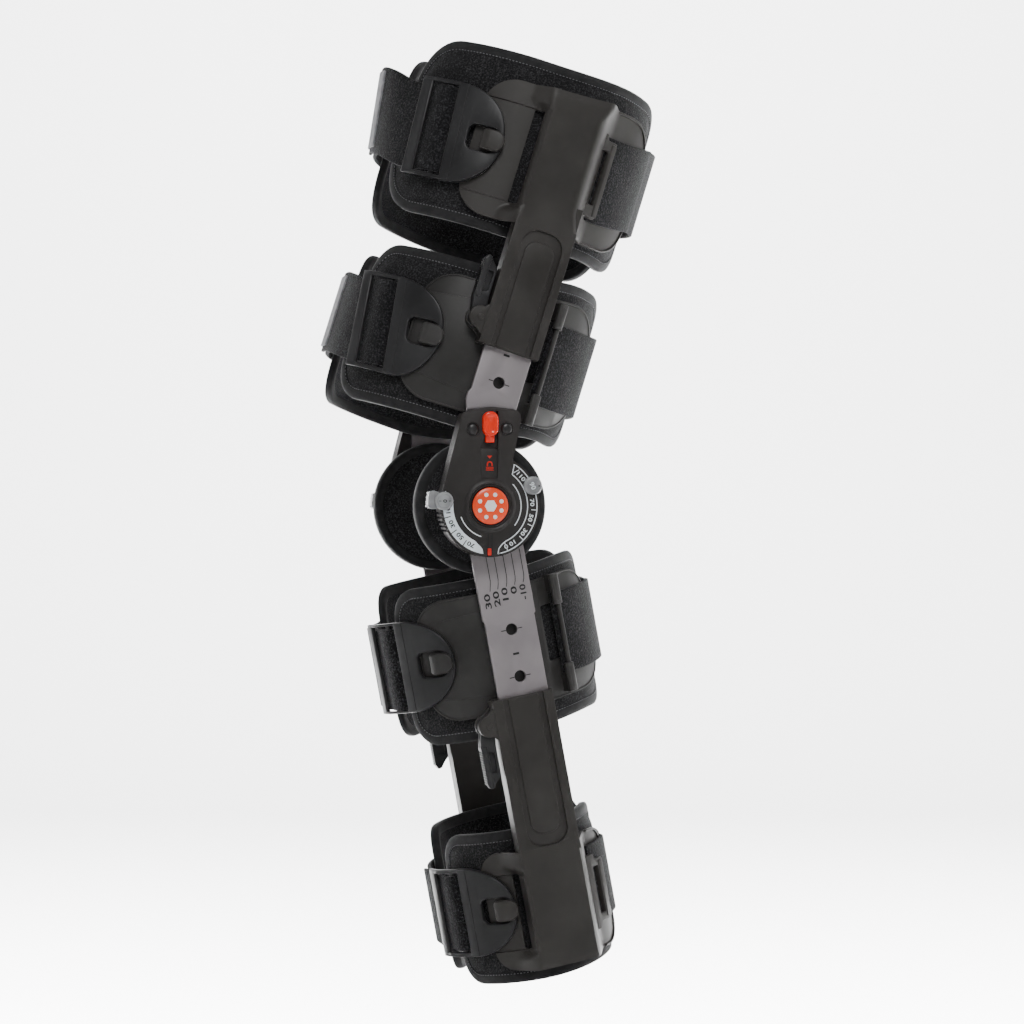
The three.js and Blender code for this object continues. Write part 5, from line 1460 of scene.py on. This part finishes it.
# %% [markdown]
# ### Printed scales
# The scales are ink a tenth of a millimetre thick. Numerals come from Blender's own font, set as flat
# mesh and turned to follow the dial. Each scale's mark shows how far the brace may bend or straighten.

# %% Printing tools
INK = 0.12


def lettering(text, height, wide=1.0, thick=INK):
    """Flat glyphs, centred on the origin."""
    curve = bpy.data.curves.new("numerals", "FONT")
    curve.body = text
    curve.extrude = thick / 2
    curve.resolution_u = 3
    curve.offset = 0.02
    holder = bpy.data.objects.new("numerals", curve)
    mesh = bpy.data.meshes.new_from_object(holder)
    bm = bmesh.new()
    bm.from_mesh(mesh)
    bpy.data.objects.remove(holder)
    bpy.data.curves.remove(curve)
    bpy.data.meshes.remove(mesh)
    xs, ys = [v.co.x for v in bm.verts], [v.co.y for v in bm.verts]
    scale = height / (max(ys) - min(ys))
    for vert in bm.verts:
        vert.co.x = (vert.co.x - (max(xs) + min(xs)) / 2) * scale * wide
        vert.co.y = (vert.co.y - (max(ys) + min(ys)) / 2) * scale
        vert.co.z = thick / 2 if vert.co.z > 0 else -thick / 2
    return bm


def turned_to(bm, x, y, degrees, out):
    bmesh.ops.rotate(bm, verts=bm.verts, matrix=Matrix.Rotation(math.radians(degrees), 3, "Z"))
    bmesh.ops.translate(bm, verts=bm.verts, vec=(x, y, out))
    return bm


def on_dial(text, angle, radius, height, out, wide=1.15):
    x, y = polar(radius, angle)
    return turned_to(lettering(text, height, wide), x, y, angle + 180, out)


def line_print(points, width, out, thick=INK):
    """A printed line along open points."""
    left, right = [], []
    for i, point in enumerate(points):
        along = Vector(points[min(i + 1, len(points) - 1)]) - Vector(points[max(i - 1, 0)])
        side = Vector((-along.y, along.x)).normalized() * width / 2
        left.append(tuple(Vector(point) + side))
        right.append(tuple(Vector(point) - side))
    return plate([right + left[::-1]], out - thick / 2, out + thick / 2, 0)


# %% Dial printing
FACE_INK = COVER_OUT + 0.05
FLEX_START, FLEX_END, EXT_START, EXT_END = 10.5, 149, -92, -8.5


def white_print(side):
    parts = []
    outer = ring_points(27.9, FLEX_START - 1, FLEX_END, 44)
    inner = ring_points(22.3, FLEX_END - 5, FLEX_START + 14, 44)
    corner = [polar(22.9, FLEX_START + 9), polar(23.9, FLEX_START + 4.5), polar(25.2, FLEX_START + 1.2)]
    loop = [*outer, *inner, *corner]
    parts.append(line_print([*loop, loop[0], loop[1]], 0.62, FACE_INK))
    parts.append(line_print(ring_points(18.4, 52, 133, 24), 0.6, FACE_INK))
    parts.append(line_print(ring_points(18.4, -70, -17, 18), 0.6, FACE_INK))
    for value in (20, 40, 60):
        angle = 25 + value
        parts.append(line_print([polar(24.6, angle), polar(27.9, angle)], 0.5, FACE_INK))
    parts.append(line_print([polar(26.3, 22), polar(27.9, 22)], 0.45, FACE_INK))
    parts.append(line_print([polar(22.9, 22), polar(24.2, 22)], 0.45, FACE_INK))
    parts.append(line_print([polar(23.6, 144), polar(27.0, 140.5)], 0.45, FACE_INK))
    labels = (("0", 22, 25.2), ("10", 31.5, 25.1), ("30", 53, 25.1), ("50", 74, 25.1), ("70", 94.5, 25.1),
              ("110", 132.5, 25))
    for text, angle, radius in labels:
        parts.append(on_dial(text, angle, radius, 2.5, FACE_INK, 1.35))
    parts.append(on_dial("90", 115, 27.4, 2.9, COVER_OUT + 0.3 + 1.8))
    return stood(merged(*parts), "knee")


def pale_band(side):
    outer = ring_points(27.9, EXT_START - 16, EXT_END, 40)
    corner = [polar(25.2, EXT_END - 2), polar(24.1, EXT_END - 5), polar(23, EXT_END - 10)]
    band = [*outer, *corner, *ring_points(21.9, EXT_END - 16, EXT_START - 6, 30)]
    return stood(plate([band], FACE_INK - INK / 2, FACE_INK + INK / 2, 0), "knee")


def dark_print_and_pointer_shade(side):
    top = FACE_INK + 0.09
    parts = []
    for value in (20, 40, 60):
        angle = -(95.5 - value)
        parts.append(line_print([polar(24.2, angle), polar(27.9, angle)], 0.5, top))
    # The two black lines down the pointer are painted shade: black ink stands in for the shade along the
    # pointer's edges.
    for u in (-1.25, 0.95):
        parts.append(line_print([(u, -28.8), (u, -16.2)], 0.7, top))
    for text, value in (("10", 11), ("30", 30), ("50", 49.5), ("70", 68)):
        parts.append(on_dial(text, -(95.5 - value), 25, 2.6, top, 1.35))
    parts.append(on_dial("10", -104, 24.3, 2.2, top))
    return stood(merged(*parts), "knee")


def stop_print(side):
    top = COVER_OUT + 0.3 + 1.8
    x, y = polar(27.4, EXTENSION_AT)
    parts = [on_dial("0", EXTENSION_AT, 27.3, 2.4, top)]
    parts.append(line_print([(x - 3.4, y), (x - 2.1, y)], 0.35, top))
    parts.append(line_print([(x + 2.3, y), (x + 3.4, y)], 0.35, top))
    parts.append(line_print([polar(30.6, 112.5), polar(31.2, 111.5)], 0.9, COVER_OUT + 0.3 + 1.85))
    return stood(merged(*parts), "knee")


def red_print(side):
    low = COVER_OUT - 0.85
    parts = [plate([box_outline(-1.7, -28.5, 0.5, -24.4, 0.5)], COVER_OUT + 0.6, COVER_OUT + 1.0, 0.15, 2)]
    parts.append(plate([[(-1.6, 28.9), (-0.1, 27.3), (1.4, 28.9)]], low, low + 0.14, 0))
    for y, high in ((20.4, 0.42), (21.2, 0.42), (22.0, 0.42)):
        parts.append(plate([box_outline(-2.3, y, 2.1, y + high)], low, low + 0.14, 0))
    arch = [
        *arc(-0.1, 24.0, 1.75, 0, 180, 12), (-1.85, 22.9), (-1.15, 22.9),
        *arc(-0.1, 24.0, 1.05, 180, 0, 12), (0.95, 22.9), (1.65, 22.9),
    ]
    parts.append(plate([arch], low, low + 0.14, 0))
    return stood(merged(*parts), "knee")


pair(white_print, "dial_white_print", print_white, "thigh_section", (), "dial")
pair(pale_band, "dial_pale_band", print_pale, "thigh_section", (), "dial")
pair(dark_print_and_pointer_shade, "dial_dark_print_and_pointer_shade", black_print_and_shade_ink, "thigh_section", (), "dial")
pair(stop_print, "stop_print", black_print_and_shade_ink, "thigh_section", (), "dial")
pair(red_print, "dial_red_print", print_red, "thigh_section", (), "dial")

# %% [markdown]
# ### Marks on the bars
# The lower bar carries its own angle scale, read along the bar, with a fine line from each numeral to the
# dial's edge. Short ticks beside the holes and single numerals show how far each bar is drawn out.

# %% Bar printing
BAR_INK = {"thigh": THIGH_BAR_IN + BAR_THICK + 0.03, "calf": CALF_BAR_IN + BAR_THICK + 0.03}
ANGLE_MARKS = (
    ("30", -8.0, -55.0, -4.3, -49.6), ("20", -2.5, -54.5, 0.5, -49.2), ("10", 2.9, -52.6, 5.8, -48.6),
    ("0", 8.5, -51.4, 10.9, -48.4), ("-10", 14.0, -53.5, 16.2, -47.9),
)


def hole_ticks(u, v, out):
    """A short line on both sides of a bar's hole."""
    return [line_print([(u + 3.6 * sign, v), (u + 6.4 * sign, v)], 0.5, out) for sign in (-1, 1)]


def thigh_marks(side):
    out = BAR_INK["thigh"]
    parts = [turned_to(lettering("1", 3.6, 1.8), 1.2, 31.0, 90, out), *hole_ticks(*THIGH_HOLE, out)]
    return stood(merged(*parts), "thigh")


def calf_marks(side):
    out = BAR_INK["calf"]
    parts = [turned_to(lettering("1", 3.6, 1.8), CALF_HOLE_U, -88.0, 90, out)]
    for text, u, v, line_u, line_end in ANGLE_MARKS:
        parts.append(turned_to(lettering(text, 3.7, 1.4 if text == "-10" else 1.85), u, v, 90, out))
        course = [
            (line_u, -24), (line_u, -40), (line_u - 0.05, -43.6), (line_u - 0.5, -46.2),
            (line_u - 1.3, line_end),
        ]
        parts.append(line_print(course, 0.42, out))
    for v in CALF_HOLES:
        parts += hole_ticks(CALF_HOLE_U, v, out)
    return stood(merged(*parts), "calf")


pair(thigh_marks, "thigh_bar_marks", black_print_and_shade_ink, "thigh_section", (), "bar")
pair(calf_marks, "calf_bar_marks", black_print_and_shade_ink, "calf_section", (), "bar")
